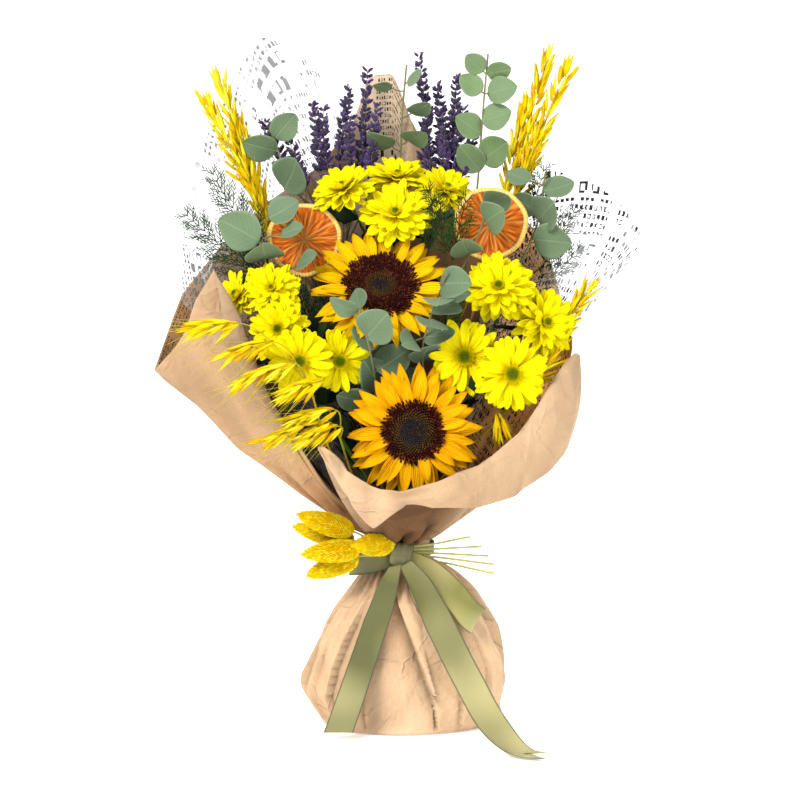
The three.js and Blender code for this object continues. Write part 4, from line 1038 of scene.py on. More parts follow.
def buildSunflower(key):
    head = sunflower["heads"][key]
    dice = np.random.default_rng(head["seed"])
    low, high = (np.array(c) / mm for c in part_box(f"sunflower_{key}_petals"))
    at = (low + high) / 2
    frameOf = basisOf(head["facing"])
    disc, radius = head["disc"], head["radius"]
    reach = radius - disc * 0.78
    pile = newPile()
    layers = [  # count, length, width, lift, curl, cup, turn, height of the root
        (head["count"], reach * 1.02, 12.5, 3, -0.06, 0.34, 0, -1),
        (head["count"] - 3, reach * 0.98, 11.5, 14, -0.12, 0.42, 0.16, 1.2),
        (8, reach * 0.8, 9, 24, -0.1, 0.5, 0.3, 2.4),
    ]
    for count, length, width, lift, curl, cup, turn, base in layers:
        p, t, c, uv = petals(dice, count, disc * 0.78, length, width, sunflower["outline"], lift, curl, cup,
                             turn, along=22, lanes=11, base=base)
        tint = mixTint(sunflower["deep"], sunflower["gold"], ease(t * 3.2))
        tint = mixTint(tint, sunflower["light"], 0.55 * ease((t - 0.35) * 2) * (1 - np.abs(c)))
        edge = 0.3 * ease((np.abs(c) - 0.75) * 4) + 0.2 * ease((t - 0.88) * 8)
        tint = mixTint(tint, sunflower["deep"], edge)
        tint = tint * (1 + dice.uniform(-0.13, 0.06, (count, 1, 1, 1))) * head["glow"]
        putShells(pile, at + p @ frameOf, 0.55, uv, tint, tint * 0.82)
    makeObject(pile, f"sunflower_{key}_rays", petalSkin, [f"sunflower_{key}_petals"])

    pile = newPile()
    base = at - frameOf[2] * 1.0
    cushion = lathe([
        [0.02, -1], [disc * 0.98, -1], [disc, 2], [disc * 0.8, 5.4], [disc * 0.4, 6], [0.02, 4.6]], 40)
    put(pile, base + cushion[0] @ frameOf, cushion[1], cushion[2], sunflower["fringe"] * 0.6)
    count = int(disc ** 2 * 0.95)
    i = np.arange(count) + 0.5
    share = np.sqrt(i / count)
    a = i * goldenTurn
    r = share * disc
    height = np.interp(share, [0, 0.35, 0.6, 0.8, 1], [4.4, 5.6, 6.0, 4.6, 1.6])
    place = np.stack([r * np.cos(a), r * np.sin(a), height], -1)
    tipped = np.interp(share, [0, 0.5, 0.75, 1], [0.0, -0.15, 0.35, 1.0]) + dice.uniform(-0.12, 0.12, count)
    way = np.stack([np.cos(a) * tipped, np.sin(a) * tipped, np.ones(count)], -1)
    tall = np.interp(share, [0, 0.4, 0.6, 0.75, 1], [1.8, 2.2, 3.4, 5.4, 7.0]) * dice.uniform(0.8, 1.2, count)
    wide = np.interp(share, [0, 0.5, 1], [1.6, 1.9, 2.1])
    tint = mixTint(sunflower["eye"], sunflower["ring"], ease((share - head["eyeShare"]) / 0.14))
    tint = mixTint(tint, sunflower["fringe"], ease((share - head["ringShare"]) / 0.16))
    speck = dice.random(count) < np.where(share > head["ringShare"], 0.24, 0.1)
    tint = np.where(speck[:, None], mixTint(tint, sunflower["pollen"], np.full(count, 0.55)), tint)
    tint = tint * dice.uniform(0.65, 1.25, (count, 1))
    outer = share > head["ringShare"] - 0.06
    sizes = np.stack([wide, wide, tall], -1)
    place, way = base + place @ frameOf, way @ frameOf
    scatter(pile, budShape, place[~outer], way[~outer], sizes[~outer], tint[~outer])
    scatter(pile, spikeShape, place[outer], way[outer], sizes[outer], tint[outer],
            dice.uniform(0, 6, outer.sum()))
    makeObject(pile, f"sunflower_{key}_florets", discSkin, [f"sunflower_{key}_disc"])

    pile = newPile()
    path = [*stemPath(head["slot"], head["above"]), at - frameOf[2] * 28, at - frameOf[2] * 9]
    tube(pile, path, 3.5, stemTints["green"], 10)
    cup = lathe([[0.02, -12], [disc * 0.34, -11.5], [disc * 0.7, -7], [disc * 0.92, -1.5], [0.02, -1]], 30)
    put(pile, at + cup[0] @ frameOf - frameOf[2] * 0.8, cup[1], cup[2], stemTints["green"])
    bractOutline = ([0, 0.3, 0.6, 1], [0.9, 1, 0.6, 0.05])
    for turn, lift, length in ((0, -8, 0.5), (0.15, -20, 0.42)):
        p, t, c, uv = petals(dice, 18, disc * 0.7, radius * length, 10, bractOutline, lift, 0.08, 0.3, turn,
                             12, 7, base=-3.4)
        putShells(pile, at + p @ frameOf, 0.6, uv, mixTint(stemTints["green"], stemTints["dark"], t))
    makeObject(pile, f"sunflower_{key}_stalk", stemSkin, [f"sunflower_{key}_stem"])


# ---- spray chrysanthemums ----
mum = {
    "outline": ([0, 0.15, 0.4, 0.62, 0.8, 0.93, 1], [0.36, 0.5, 0.84, 1, 0.9, 0.6, 0.16]),
    "yellow": rgb(244, 228, 0), "warm": rgb(226, 188, 0),
    "pale": rgb(250, 240, 10), "heart": rgb(120, 140, 14),
    "radius": 27, "twig": 1.3, "stem": 1.9, "leaves": 11, "leafLength": (30, 46), "foliageFrom": 225,
    "leafDark": rgb(20, 34, 20), "leafLight": rgb(44, 66, 34),
    "sprays": {
        "left": {
            "slot": [-2, 0], "above": [[-52, -14, 260], [-80, -22, 310]],
            "heads": [  # middle, direction, size, how open the heart is
                ["mum_left_1", [-144, -26, 390], [-0.65, -0.55, 0.5], 0.9, 0],
                ["mum_left_2", [-112, -46, 396], [-0.1, -0.9, 0.4], 0.88, 0],
                ["mum_left_3", [-105, -66, 361], [-0.25, -0.9, 0.3], 0.98, 0.5],
                ["mum_left_4", [-86, -88, 335], [0.05, -0.95, -0.1], 0.98, 1],
                ["mum_left_5", [-52, -70, 334], [0.15, -0.95, -0.1], 0.95, 1],
            ],
        },
        "top": {
            "slot": [0, 2], "above": [[-2, 14, 270], [-2, 16, 380]],
            "heads": [
                ["mum_top_1", [-51, -8, 485], [-0.35, -0.55, 0.75], 1.05, 0],
                ["mum_top_2", [-2, 26, 496], [0, -0.5, 0.85], 1.0, 0],
                ["mum_top_3", [-4, -22, 462], [0, -0.8, 0.6], 1.15, 0],
                ["mum_top_4", [42, 14, 484], [0.35, -0.5, 0.75], 1.0, 0],
            ],
        },
        "right": {
            "slot": [2, 0], "above": [[44, -12, 260], [72, -22, 310]],
            "heads": [
                ["mum_right_1", [86, -46, 398], [-0.05, -0.85, 0.5], 1.12, 0.2],
                ["mum_right_2", [128, -40, 366], [0.5, -0.85, 0.2], 1.12, 0.2],
                ["mum_right_3", [56, -74, 338], [-0.15, -0.97, 0.05], 1.12, 1],
                ["mum_right_4", [96, -88, 324], [0.2, -0.95, 0.05], 1.12, 1],
            ],
        },
    },
}
mumSkin = plantMaterial("chrysanthemum_petal", veins=6, depth=0.5, mottle=0.14, size=80, rough=0.55,
                        bump=0.0006, shader={"Specular IOR Level": 0.06})


def buildMum(name, at, direction, size, heart, seed):
    dice = np.random.default_rng(seed)
    frameOf = basisOf(direction)
    at = np.array(at, float)
    radius = mum["radius"] * size
    pile = newPile()
    layers = [(19, 1.0, 8.0, -5, 0.02, 0), (17, 0.97, 7.6, 7, 0.0, 0.16)]
    if heart < 0.9:
        layers += [(14, 0.84, 7.2, 20, 0.02, 0.05), (9, 0.6, 6.6, 38, 0.06, 0.3)]
    for i, (count, length, width, lift, curl, turn) in enumerate(layers):
        p, t, c, uv = petals(dice, count, 2.2 + 0.5 * heart, radius * length, width * size, mum["outline"],
                             lift, curl, 0.42, turn, along=14, lanes=7, spread=0.09, base=-4.2 + i)
        p = p + dice.normal(0, 0.9, (count, 1, 1, 3)) * t[..., None] ** 2 * [1, 1, 1.7]
        tint = mixTint(mum["warm"], mum["yellow"], ease(t * 2.0))
        tint = mixTint(tint, mum["pale"], 0.5 * ease((t - 0.5) * 2.2) * (1 - np.abs(c)))
        tint = tint * (1 + dice.uniform(-0.1, 0.05, (count, 1, 1, 1)))
        putShells(pile, at + p @ frameOf, 0.5, uv, tint, tint * 0.86)
    count = int(60 + 70 * heart)
    i = np.arange(count) + 0.5
    r = np.sqrt(i / count) * (3.2 + 2.9 * heart) * size
    a = i * goldenTurn
    place = np.stack([r * np.cos(a), r * np.sin(a), 2.6 - 0.13 * r ** 1.6], -1)
    way = np.stack([np.cos(a) * r * 0.14, np.sin(a) * r * 0.14, np.ones(count)], -1)
    tint = mixTint(mum["heart"], mum["yellow"], ease(np.sqrt(i / count) * 1.6 - 0.55))
    tint = tint * dice.uniform(0.8, 1.1, (count, 1))
    scatter(pile, budShape, at + place @ frameOf, way @ frameOf, [1.2, 1.2, 2.6], tint)
    cup = lathe([[0.02, -11.6], [3, -11.4], [6, -8], [7.2, -4.6], [0.02, -3.8]], 14)
    put(pile, at + (cup[0] * [size, size, 1]) @ frameOf, cup[1], cup[2], stemTints["green"])
    sepal = ([0, 0.5, 1], [0.9, 1, 0.1])
    p, t, c, uv = petals(dice, 11, 3, 8.5 * size, 3.6, sepal, 24, 0.1, 0.3, 0, 6, 5, base=-9.8)
    putShells(pile, at + p @ frameOf, 0.5, uv, stemTints["green"])
    makeObject(pile, name.replace("mum", "chrysanthemum"), mumSkin, [name])


# Lobed leaves up the stem, which fill the space behind the flowers; their very dark green is partly their own
# colour and partly painted shade.
def addFoliage(pile, spray, fork, seed):
    dice = np.random.default_rng(seed + 700)
    outline = ([0, 0.12, 0.3, 0.42, 0.6, 0.7, 0.86, 1], [0.16, 0.3, 0.85, 0.6, 1, 0.62, 0.6, 0.04])
    path = through(stemPath(spray["slot"], spray["above"]), 120)
    path = path[path[:, 2] > mum["foliageFrom"]]
    ends = [np.array(h[1], float) - unit(h[2]) * 26 for h in spray["heads"]]
    roots = [path[int(k)] for k in np.linspace(0, len(path) - 1, mum["leaves"])]
    roots += [fork + (end - fork) * share for end in ends for share in (0.2, 0.45, 0.7, 0.9)]
    for root in roots:
        toward = [dice.uniform(-1, 1), dice.uniform(-1.1, 0.3), dice.uniform(0.1, 1)]
        length = dice.uniform(*mum["leafLength"])
        p, t, c, uv = petals(dice, 1, 0.5, length, length * 0.62, outline, 8, 0.12, 0.3, 0, 14, 7)
        tint = mixTint(mum["leafDark"], mum["leafLight"], 0.7 * dice.random() + 0.3 * (1 - np.abs(c)))
        along = unit(toward)
        face = unit(np.cross(along, [dice.uniform(-1, 1), 0.4, dice.uniform(-1, 1)]))
        frameOf = np.array([along, np.cross(face, along), face])
        putShells(pile, root + p @ frameOf, 0.5, uv, tint)


def buildSprays():
    seed = 100
    for key, spray in mum["sprays"].items():
        pile = newPile()
        tube(pile, stemPath(spray["slot"], spray["above"]), mum["stem"], stemTints["green"], 8)
        fork = forkOf(spray["above"])
        addFoliage(pile, spray, fork, seed)
        for name, at, direction, size, heart in spray["heads"]:
            seed += 1
            buildMum(name, at, direction, size, heart, seed)
            base = np.array(at) - unit(direction) * 10.5
            before = np.array(at) - unit(direction) * 28
            tube(pile, [fork, before, base], mum["twig"], stemTints["green"], 6)
        makeObject(pile, f"chrysanthemum_stem_{key}", stemSkin, [f"mum_stem_{key}"])


# ---- eucalyptus: each leaf is [x, y, z of its middle, radius, roll in degrees] ----
eucalyptus = {
    "blade": rgb(76, 102, 72), "pale": rgb(122, 142, 110),
    "dark": rgb(34, 54, 38), "young": rgb(96, 126, 44),
    "stalk": rgb(120, 116, 78), "thickness": 0.5, "cup": 0.16,
    "branches": {
        "top_right": {
            "slot": [1.5, 3], "tip": [80, 44, 606],
            "above": [[46, 36, 330], [70, 42, 480], [76, 43, 560]], "young": 0.8,
            "leaves": [
                [68, 40, 597, 11, 20], [90, 42, 590, 11, -30],
                [92, 38, 573, 14, 15], [64, 42, 578, 12, -20],
                [88, 40, 549, 14, 20], [62, 40, 541, 14, -25], [86, 32, 518, 16, 10], [64, 40, 512, 15, 25],
            ],
        },
        "upper_left": {
            "slot": [-1, 2], "tip": [-118, 28, 540],
            "above": [[-46, 22, 320], [-92, 22, 440], [-106, 24, 505]], "young": 0.1,
            "leaves": [[-126, 20, 521, 16, 35], [-104, 26, 540, 14, -20], [-97, 12, 497, 20, 15]],
        },
        "left": {
            "slot": [-2.5, 1], "tip": [-128, -28, 462],
            "above": [[-58, 6, 290], [-98, -13, 372], [-122, -26, 430]], "young": 0,
            "leaves": [
                [-141, -26, 447, 20, 15], [-119, -36, 425, 19, -10],
                [-102, -28, 464, 15, 30], [-94, -40, 446, 11, 50],
                [-82, -46, 420, 13, 60],
            ],
        },
        "top_centre": {
            "slot": [-0.5, 3], "tip": [6, 56, 597],
            "above": [[-4, 34, 330], [0, 48, 480], [2, 54, 550]], "young": 0.1,
            "leaves": [
                [-16, 46, 577, 9, 60], [14, 44, 584, 10, 50],
                [18, 40, 556, 12, -50], [-18, 42, 527, 14, 55],
                [14, 34, 530, 14, -40],
            ],
        },
        "centre_left": {
            "slot": [-1.5, -1], "tip": [-32, -96, 374],
            "above": [[-20, -36, 250], [-22, -62, 320], [-27, -88, 350]], "young": 0,
            "leaves": [
                [-20, -102, 366, 19, 0], [-48, -98, 382, 13, 50],
                [-6, -60, 334, 17, 20], [-30, -72, 356, 15, -40],
                [-36, -84, 388, 11, 30], [-24, -64, 322, 17, -25],
                [-40, -60, 300, 16, 40], [6, -56, 316, 15, 35],
            ],
        },
        "centre_right": {
            "slot": [0.5, -1], "tip": [40, -98, 412],
            "above": [[20, -24, 236], [22, -46, 300], [20, -66, 345]], "young": 0,
            "leaves": [
                [46, -100, 402, 16, 20], [32, -104, 388, 15, -15],
                [26, -100, 366, 16, 30], [8, -98, 352, 13, -30],
                [40, -86, 380, 13, 60], [22, -70, 342, 16, -35],
                [34, -74, 356, 14, 50], [50, -84, 392, 11, -50],
            ],
        },
        "over_orange": {
            "slot": [1, 0], "tip": [80, -32, 476],
            "above": [[34, -4, 300], [50, -20, 400], [68, -30, 440]], "young": 0.2,
            "leaves": [[80, -46, 458, 17, 10], [86, -42, 474, 14, -30], [58, -38, 430, 16, 20]],
        },
        "right": {
            "slot": [2.5, 1], "tip": [130, 4, 498],
            "above": [[64, 8, 300], [100, 4, 400], [122, 2, 450]], "young": 0,
            "leaves": [
                [128, -10, 462, 19, 25], [136, -6, 437, 18, -20],
                [142, 4, 484, 14, 40], [112, 8, 470, 13, 40],
                [106, 12, 494, 12, -40],
            ],
        },
    },
}


def makeLeafMaterial():
    made, tree, body, places, tint = newMaterial("eucalyptus_leaf", {
        "Sheen Weight": 0.06, "Specular IOR Level": 0.16})
    skin = placeGroup(tree, plantSkin, {
        "Tint": tint["Color"], "Map": places["UV"],
        "Place": places["Object"], "Vein Count": 2.0, "Vein Depth": 0.1,
        "Mottle Size": 75.0, "Mottle": 0.34, "Roughness": 0.6})
    part = addNode(tree, "SeparateXYZ", {0: places["UV"]}).outputs
    off = calc(tree, "ABSOLUTE", calc(tree, "SUBTRACT", part[0], 0.5))
    midrib = spanTo(tree, off, 0.006, 0.03, 1.0, 0.0)
    slant = calc(tree, "SUBTRACT", part[1], calc(tree, "MULTIPLY", off, 0.8))
    branching = calc(tree, "FRACT", calc(tree, "MULTIPLY", slant, 8.0))
    apart = calc(tree, "ABSOLUTE", calc(tree, "SUBTRACT", branching, 0.5))
    sideVein = spanTo(tree, apart, 0.0, 0.1, 0.45, 0.0)
    vein = calc(tree, "MAXIMUM", midrib, sideVein)
    colour = mixColour(tree, calc(tree, "MULTIPLY", vein, 0.4), skin["Color"], (*rgb(134, 152, 116), 1))
    feed(tree, body, colour=colour, rough=skin["Roughness"])
    bumpOf(tree, body, calc(tree, "SUBTRACT", skin["Height"], calc(tree, "MULTIPLY", vein, 0.5)), 0.0005)
    return made


leafSkin = makeLeafMaterial()


def buildEucalyptus(key, seed):
    branch = eucalyptus["branches"][key]
    dice = np.random.default_rng(seed)
    pile = newPile()
    points = stemPath(branch["slot"], [*branch["above"], branch["tip"]])
    path = tube(pile, points, 1.4, eucalyptus["stalk"], 8, taper=0.6)
    t = np.linspace(0, 1, 22)[:, None]
    c = np.linspace(-1, 1, 15)[None, :]
    for x, y, z, radius, roll in branch["leaves"]:
        middle = np.array([x, y, z], float)
        root = path[np.argmin(np.linalg.norm(path - middle - [0, 0, -radius * 0.5], axis=1))]
        along = unit(middle - root)
        face = unit(np.array([0, -1.0, 0]) + along * along[1])
        turn = math.radians(roll)
        side = np.cross(face, along)
        face = face * math.cos(turn) + side * math.sin(turn)
        side = np.cross(along, face)
        outline = np.sin(np.clip(t, 0.0, 1) ** 0.82 * math.pi) ** 0.62 * 0.93
        half = radius * outline
        run = radius * (2.05 * t - 1.02)
        bowl = radius * eucalyptus["cup"] * dice.uniform(0.4, 1.5) * (c ** 2 * outline ** 2)
        bowl = bowl + radius * dice.uniform(-0.2, 0.16) * (2 * t - 1) ** 2
        wave = radius * 0.05 * np.sin(t * 7 + dice.uniform(0, 6)) * c
        p = middle + along * run[..., None] + side * (half * c)[..., None] + face * (bowl + wave)[..., None]
        # painted shade: leaves further back than y = -75 and lower than z = 400 are darkened; the rest get a
        # random tone
        tone = dice.uniform(0, 1) if y < -75 or z > 400 else 1.8
        base = mixTint(eucalyptus["blade"], eucalyptus["dark"], 0.5 * tone)
        base = mixTint(base, eucalyptus["young"], branch["young"] * dice.uniform(0.3, 0.8))
        rim = 0.5 * ease((np.abs(c) * np.ones_like(t) - 0.8) * 5) + 0.25 * max(1 - tone, 0)
        tint = mixTint(base, eucalyptus["pale"], rim)
        under = mixTint(tint, eucalyptus["pale"], 0.4 * np.ones(tint.shape[:-1]))
        uv = np.stack(np.broadcast_arrays(0.5 + 0.5 * c * (half / radius), t + 0 * c), -1)
        putShells(pile, p[None], eucalyptus["thickness"], uv, tint, under)
        foot = middle - along * radius * 0.96
        tube(pile, [root, (root + foot) / 2 + face * 0.8, foot], 0.7, eucalyptus["stalk"], 5, rings=6)
    makeObject(pile, f"eucalyptus_branch_{key}", leafSkin, [f"eucalyptus_{key}"])


# ---- lavender: whorls of buds along each spike ----
lavender = {
    "bud": rgb(74, 46, 104), "dark": rgb(36, 22, 54), "light": rgb(118, 86, 146), "stalk": rgb(96, 100, 70),
    "stalks": {
        "left": {
            "slot": [-1.5, 3], "above": [[-30, 40, 330], [-52, 46, 430]],
            "ears": [
                [[-104, 42, 500], [-124, 44, 546]],
                [[-74, 46, 500], [-80, 50, 562]], [[-54, 50, 500], [-46, 56, 578]],
                [[-38, 48, 490], [-30, 56, 592]], [[-86, 34, 486], [-100, 36, 526]],
                [[-64, 44, 494], [-70, 46, 556]],
                [[-44, 40, 486], [-44, 44, 552]], [[-28, 44, 484], [-20, 50, 560]],
            ],
        },
        "right": {
            "slot": [0.5, 3], "above": [[14, 42, 330], [26, 56, 430]],
            "ears": [
                [[22, 60, 510], [18, 70, 604]],
                [[36, 58, 505], [34, 68, 582]], [[42, 54, 500], [52, 64, 590]],
                [[48, 50, 490], [58, 58, 560]],
                [[30, 50, 494], [26, 58, 560]], [[40, 44, 486], [42, 50, 548]],
                [[54, 46, 484], [70, 52, 536]],
            ],
        },
    },
}
lavenderSkin = plantMaterial("dried_lavender", veins=5, depth=0.6, mottle=0.8, size=500, rough=0.85,
                             bump=0.0005, shader={"Sheen Weight": 0.3})


def buildLavender(key, seed):
    stalk = lavender["stalks"][key]
    dice = np.random.default_rng(seed)
    pile = newPile()
    tube(pile, stemPath(stalk["slot"], stalk["above"]), 1.2, lavender["stalk"], 6)
    fork = forkOf(stalk["above"])
    for start, tip in np.array(stalk["ears"], float):
        bend = (start + tip) / 2 + dice.uniform(-3, 3, 3)
        tube(pile, [fork, start, bend, tip], 0.75, lavender["stalk"], 5, rings=40, taper=0.5)
        length = np.linalg.norm(tip - start)
        spine = through([start, bend, tip], 60)
        whorls = np.r_[0.02, np.arange(0.14, 1.0, 5.8 / length)]
        whorls = np.clip(whorls + dice.uniform(-0.012, 0.012, len(whorls)), 0, 1)
        for share in whorls:
            at = spine[int(share * 59)]
            way = unit(spine[min(int(share * 59) + 1, 59)] - spine[max(int(share * 59) - 1, 0)])
            x, y, z = axesFor(way[None])
            count = 9 if share < 0.85 else 6
            a = dice.uniform(0, turnFull, count)
            out = np.cos(a)[:, None] * x + np.sin(a)[:, None] * y
            lean = out + z * dice.uniform(0.3, 1.3, (count, 1))
            size = dice.uniform(0.85, 1.2, (count, 1)) * (1.15 - 0.4 * share)
            tone = dice.random(count)
            tint = mixTint(lavender["dark"], lavender["bud"], tone) * dice.uniform(0.8, 1.2, (count, 1))
            places = at + out * 0.8 + z * dice.uniform(-1.6, 1.6, (count, 1))
            scatter(pile, budShape, places, lean, size * [3.3, 3.3, 7.4], tint)
            few = dice.random(count) < 0.3
            if few.any():
                tips = at + out[few] * 3.2 + z * 3.6
                scatter(pile, budShape, tips, lean[few], [2.2, 2.2, 2.6], lavender["light"])
    makeObject(pile, f"lavender_spikes_{key}", lavenderSkin, [f"lavender_{key}"])


# ---- dyed oats: husks with long awns along each ear ----
oats = {
    "husk": rgb(252, 222, 0), "deep": rgb(238, 182, 0),
    "light": rgb(255, 240, 50), "stalk": rgb(214, 190, 40),
    "stalks": {
        "top_left": {
            "slot": [-2, 2], "above": [[-64, 22, 320], [-108, 30, 430]], "droop": 0, "awn": 14,
            "ears": [
                [[-132, 30, 474], [-166, 38, 592]],
                [[-140, 30, 486], [-180, 34, 572]], [[-122, 34, 456], [-152, 42, 556]],
                [[-118, 26, 440], [-146, 24, 520]],
            ],
        },
        "top_right": {
            "slot": [1, 2], "above": [[42, 28, 330], [82, 36, 430]], "droop": 0, "awn": 14,
            "ears": [
                [[106, 38, 488], [136, 44, 612]],
                [[114, 34, 495], [155, 38, 598]], [[96, 38, 476], [118, 42, 570]],
                [[104, 30, 470], [128, 30, 540]],
            ],
        },
        "spill_upper": {
            "slot": [-2.5, -1], "above": [[-60, -40, 250], [-78, -92, 318]], "droop": 0.25, "awn": 34,
            "ears": [
                [[-136, -98, 368], [-188, -90, 360]], [[-106, -100, 352], [-156, -94, 338]],
                [[-88, -102, 334], [-146, -98, 314]], [[-66, -110, 320], [-104, -112, 306]],
            ],
        },
        "spill_lower": {
            "slot": [-1, -2], "above": [[-38, -52, 226], [-52, -86, 270]], "droop": 0.25, "awn": 32,
            "ears": [
                [[-54, -100, 294], [-104, -106, 282]], [[-60, -102, 284], [-122, -112, 266]],
                [[-50, -100, 280], [-90, -110, 268]],
            ],
        },
        "right": {
            "slot": [2.5, -1], "above": [[56, -30, 250], [96, -46, 290]], "droop": 0.1, "awn": 16,
            "ears": [
                [[106, -46, 306], [142, -44, 338]],
                [[84, -58, 288], [90, -66, 264]], [[132, -24, 336], [174, -8, 404]],
            ],
        },
    },
}
oatSkin = plantMaterial("dyed_oat", veins=9, depth=0.9, mottle=0.3, size=200, rough=0.55, bump=0.0004,
                        shader={"Specular IOR Level": 0.08})
huskShape = lathe([[0.02, 0], [0.34, 0.12], [0.5, 0.34], [0.4, 0.62], [0.16, 0.86], [0.01, 1]], 6)
awnShape = lathe([[0.5, 0], [0.4, 0.5], [0.02, 1]], 3)


def buildOats(key, seed):
    stalk = oats["stalks"][key]
    dice = np.random.default_rng(seed)
    pile = newPile()
    tube(pile, stemPath(stalk["slot"], stalk["above"]), 1.0, oats["stalk"], 6)
    fork = forkOf(stalk["above"])
    for start, tip in np.array(stalk["ears"], float):
        length = np.linalg.norm(tip - start)
        way = unit(tip - start)
        bend = (start + tip) / 2 - np.array([0, 0, -0.05 * length])
        tube(pile, [fork, start, bend, tip - way * 12], 0.7, oats["stalk"], 5, rings=36, taper=0.4)
        spine = through([start, bend, tip - way * 14], 60)
        count = int(length / 4.0) + 4
        share = np.linspace(0, 1, count)
        at = spine[(share * 59).astype(int)]
        x, y, z = axesFor(way[None])
        a = np.arange(count) * 2.4 + dice.uniform(-0.5, 0.5, count)
        out = np.cos(a)[:, None] * x + np.sin(a)[:, None] * y
        spread = 0.5 * (1 - 0.45 * share)[:, None]
        lean = unit(z + out * spread * dice.uniform(0.6, 1.3, (count, 1)) - np.array([0, 0, stalk["droop"]]))
        size = dice.uniform(0.85, 1.15, (count, 1))
        base = at + out * 2.2
        for shift in (-0.35, 0.35):
            leaning = unit(lean + shift * 0.3 * np.cross(lean, out))
            tone = dice.random(count)
            tint = mixTint(oats["deep"], oats["husk"], tone) * dice.uniform(0.85, 1.1, (count, 1))
            tint = np.where(dice.random(count)[:, None] < 0.25, oats["light"], tint)
            scatter(pile, huskShape, base, leaning, size * [3.7, 2.7, 20], tint, dice.uniform(0, 6, count))
        reach = dice.uniform(0.7, 1.1, (count, 1)) * stalk["awn"]
        thin = np.full_like(reach, 0.55)
        scatter(pile, awnShape, base + lean * 13 * size, unit(lean + out * 0.12),
                np.hstack([thin, thin, reach + 5]), oats["light"] * 0.9)
        for k in range(0, count, 2):
            hook = [at[k], at[k] + out[k] * 1.4 + z[0] * 1.5, base[k] + lean[k]]
            tube(pile, hook, 0.3, oats["stalk"], 4, rings=4)
    makeObject(pile, f"oat_ears_{key}", oatSkin, [f"oats_{key}"])


# ---- tree fern: needles on side twigs, in soft flat plumes ----
fern = {
    "needle": rgb(20, 52, 20), "light": rgb(48, 92, 34), "stalk": rgb(34, 62, 28),
    "stalks": {
        "left": {
            "slot": [-1, 0], "above": [[-44, -8, 280], [-72, -12, 350]],
            "plumes": [
                [[-130, 4, 404], [-194, 6, 462]],
                [[-66, -26, 356], [-60, -24, 412]], [[-120, 8, 420], [-170, 12, 500]],
                [[-100, -2, 390], [-150, -4, 440]], [[-76, -24, 352], [-92, -22, 400]],
            ],
        },
        "centre": {
            "slot": [1.5, -1], "above": [[26, -20, 260], [40, -24, 360]],
            "plumes": [
                [[40, -30, 425], [24, -30, 482]], [[46, -28, 420], [58, -26, 474]],
                [[30, -36, 330], [48, -52, 382]],
            ],
        },
        "right": {
            "slot": [2, 2], "above": [[58, 20, 300], [104, 18, 400]],
            "plumes": [
                [[130, 16, 416], [158, 12, 464]], [[120, 22, 446], [130, 20, 502]],
                [[126, 14, 400], [160, 6, 430]],
            ],
        },
    },
}
fernSkin = plantMaterial("tree_fern", veins=2, depth=0.2, mottle=0.7, size=260, rough=0.7, bump=0.0003)
needleShape = lathe([[0.12, 0], [0.5, 0.4], [0.02, 1]], 3)


def buildFern(key, seed):
    stalk = fern["stalks"][key]
    dice = np.random.default_rng(seed)
    pile = newPile()
    tube(pile, stemPath(stalk["slot"], stalk["above"]), 0.95, fern["stalk"], 6)
    fork = forkOf(stalk["above"])
    for start, tip in np.array(stalk["plumes"], float):
        bend = (start + tip) / 2 + dice.uniform(-4, 4, 3)
        tube(pile, [fork, start, bend, tip], 0.65, fern["stalk"], 5, rings=44, taper=0.4)
        spine = through([start, bend, tip], 80)
        length = np.linalg.norm(tip - start)
        z = unit(tip - start)
        flatSide = unit(np.cross(z, [0, 1.0, 0]))
        depth = np.cross(z, flatSide)
        for share in np.linspace(0.02, 0.95, int(length / 6.5)):
            at = spine[int(share * 79)]
            for sign in (-1, 1):
                twig = unit(z * dice.uniform(0.8, 2.0) + flatSide * sign + depth * dice.uniform(-0.7, 0.7))
                reach = length * 0.34 * (1.1 - share) * dice.uniform(0.7, 1.1) + 5
                end = at + twig * reach
                tube(pile, [at, end], 0.5, fern["stalk"], 4, rings=4, taper=0.5)
                count = int(reach / 2.6) + 2
                s = np.linspace(0.12, 1, count)[:, None]
                places = at + (end - at) * s
                swing = np.where(np.arange(count)[:, None] % 2 == 0, 1, -1)
                side = unit(np.cross(twig, depth))
                way = twig * dice.uniform(0.9, 1.9, (count, 1)) + side * swing * 0.7
                way = way + depth * dice.uniform(-0.9, 0.9, (count, 1))
                long = dice.uniform(6, 11, (count, 1)) * (1.15 - 0.5 * s)
                tint = mixTint(fern["needle"], fern["light"], dice.random(count))
                tint = tint * dice.uniform(0.8, 1.1, (count, 1))
                thin = np.full_like(long, 1.15)
                scatter(pile, needleShape, places, way, np.hstack([thin, thin, long]), tint)
    makeObject(pile, f"fern_plumes_{key}", fernSkin, [f"fern_{key}"])


# ---- dried orange slices on picks ----
orange = {
    "flesh": rgb(196, 100, 16), "deep": rgb(140, 54, 8),
    "glow": rgb(226, 142, 30), "pith": rgb(230, 196, 110),
    "peel": rgb(232, 176, 56), "radius": 33, "thickness": 4.6, "segments": 10,
    "slices": {
        "left": {
            "slot": [-1.5, 1], "above": [[-42, 8, 290], [-76, -4, 380]],
            "facing": [0.06, -1, 0.08], "turn": 0.2, "seed": 31,
        },
        "right": {
            "slot": [1.5, 1], "above": [[40, 8, 290], [68, 4, 380]],
            "facing": [-0.1, -1, 0.1], "turn": 0.9, "seed": 37,
        },
    },
}
orangeSkin = plantMaterial("dried_orange", veins=64, depth=0.35, mottle=0.5, size=150, rough=0.5, bump=0.0012,
                           shader={"Specular IOR Level": 0.16})
pickSkin = plantMaterial("wood_pick", veins=12, depth=0.7, mottle=0.5, size=120, rough=0.75, bump=0.0004)


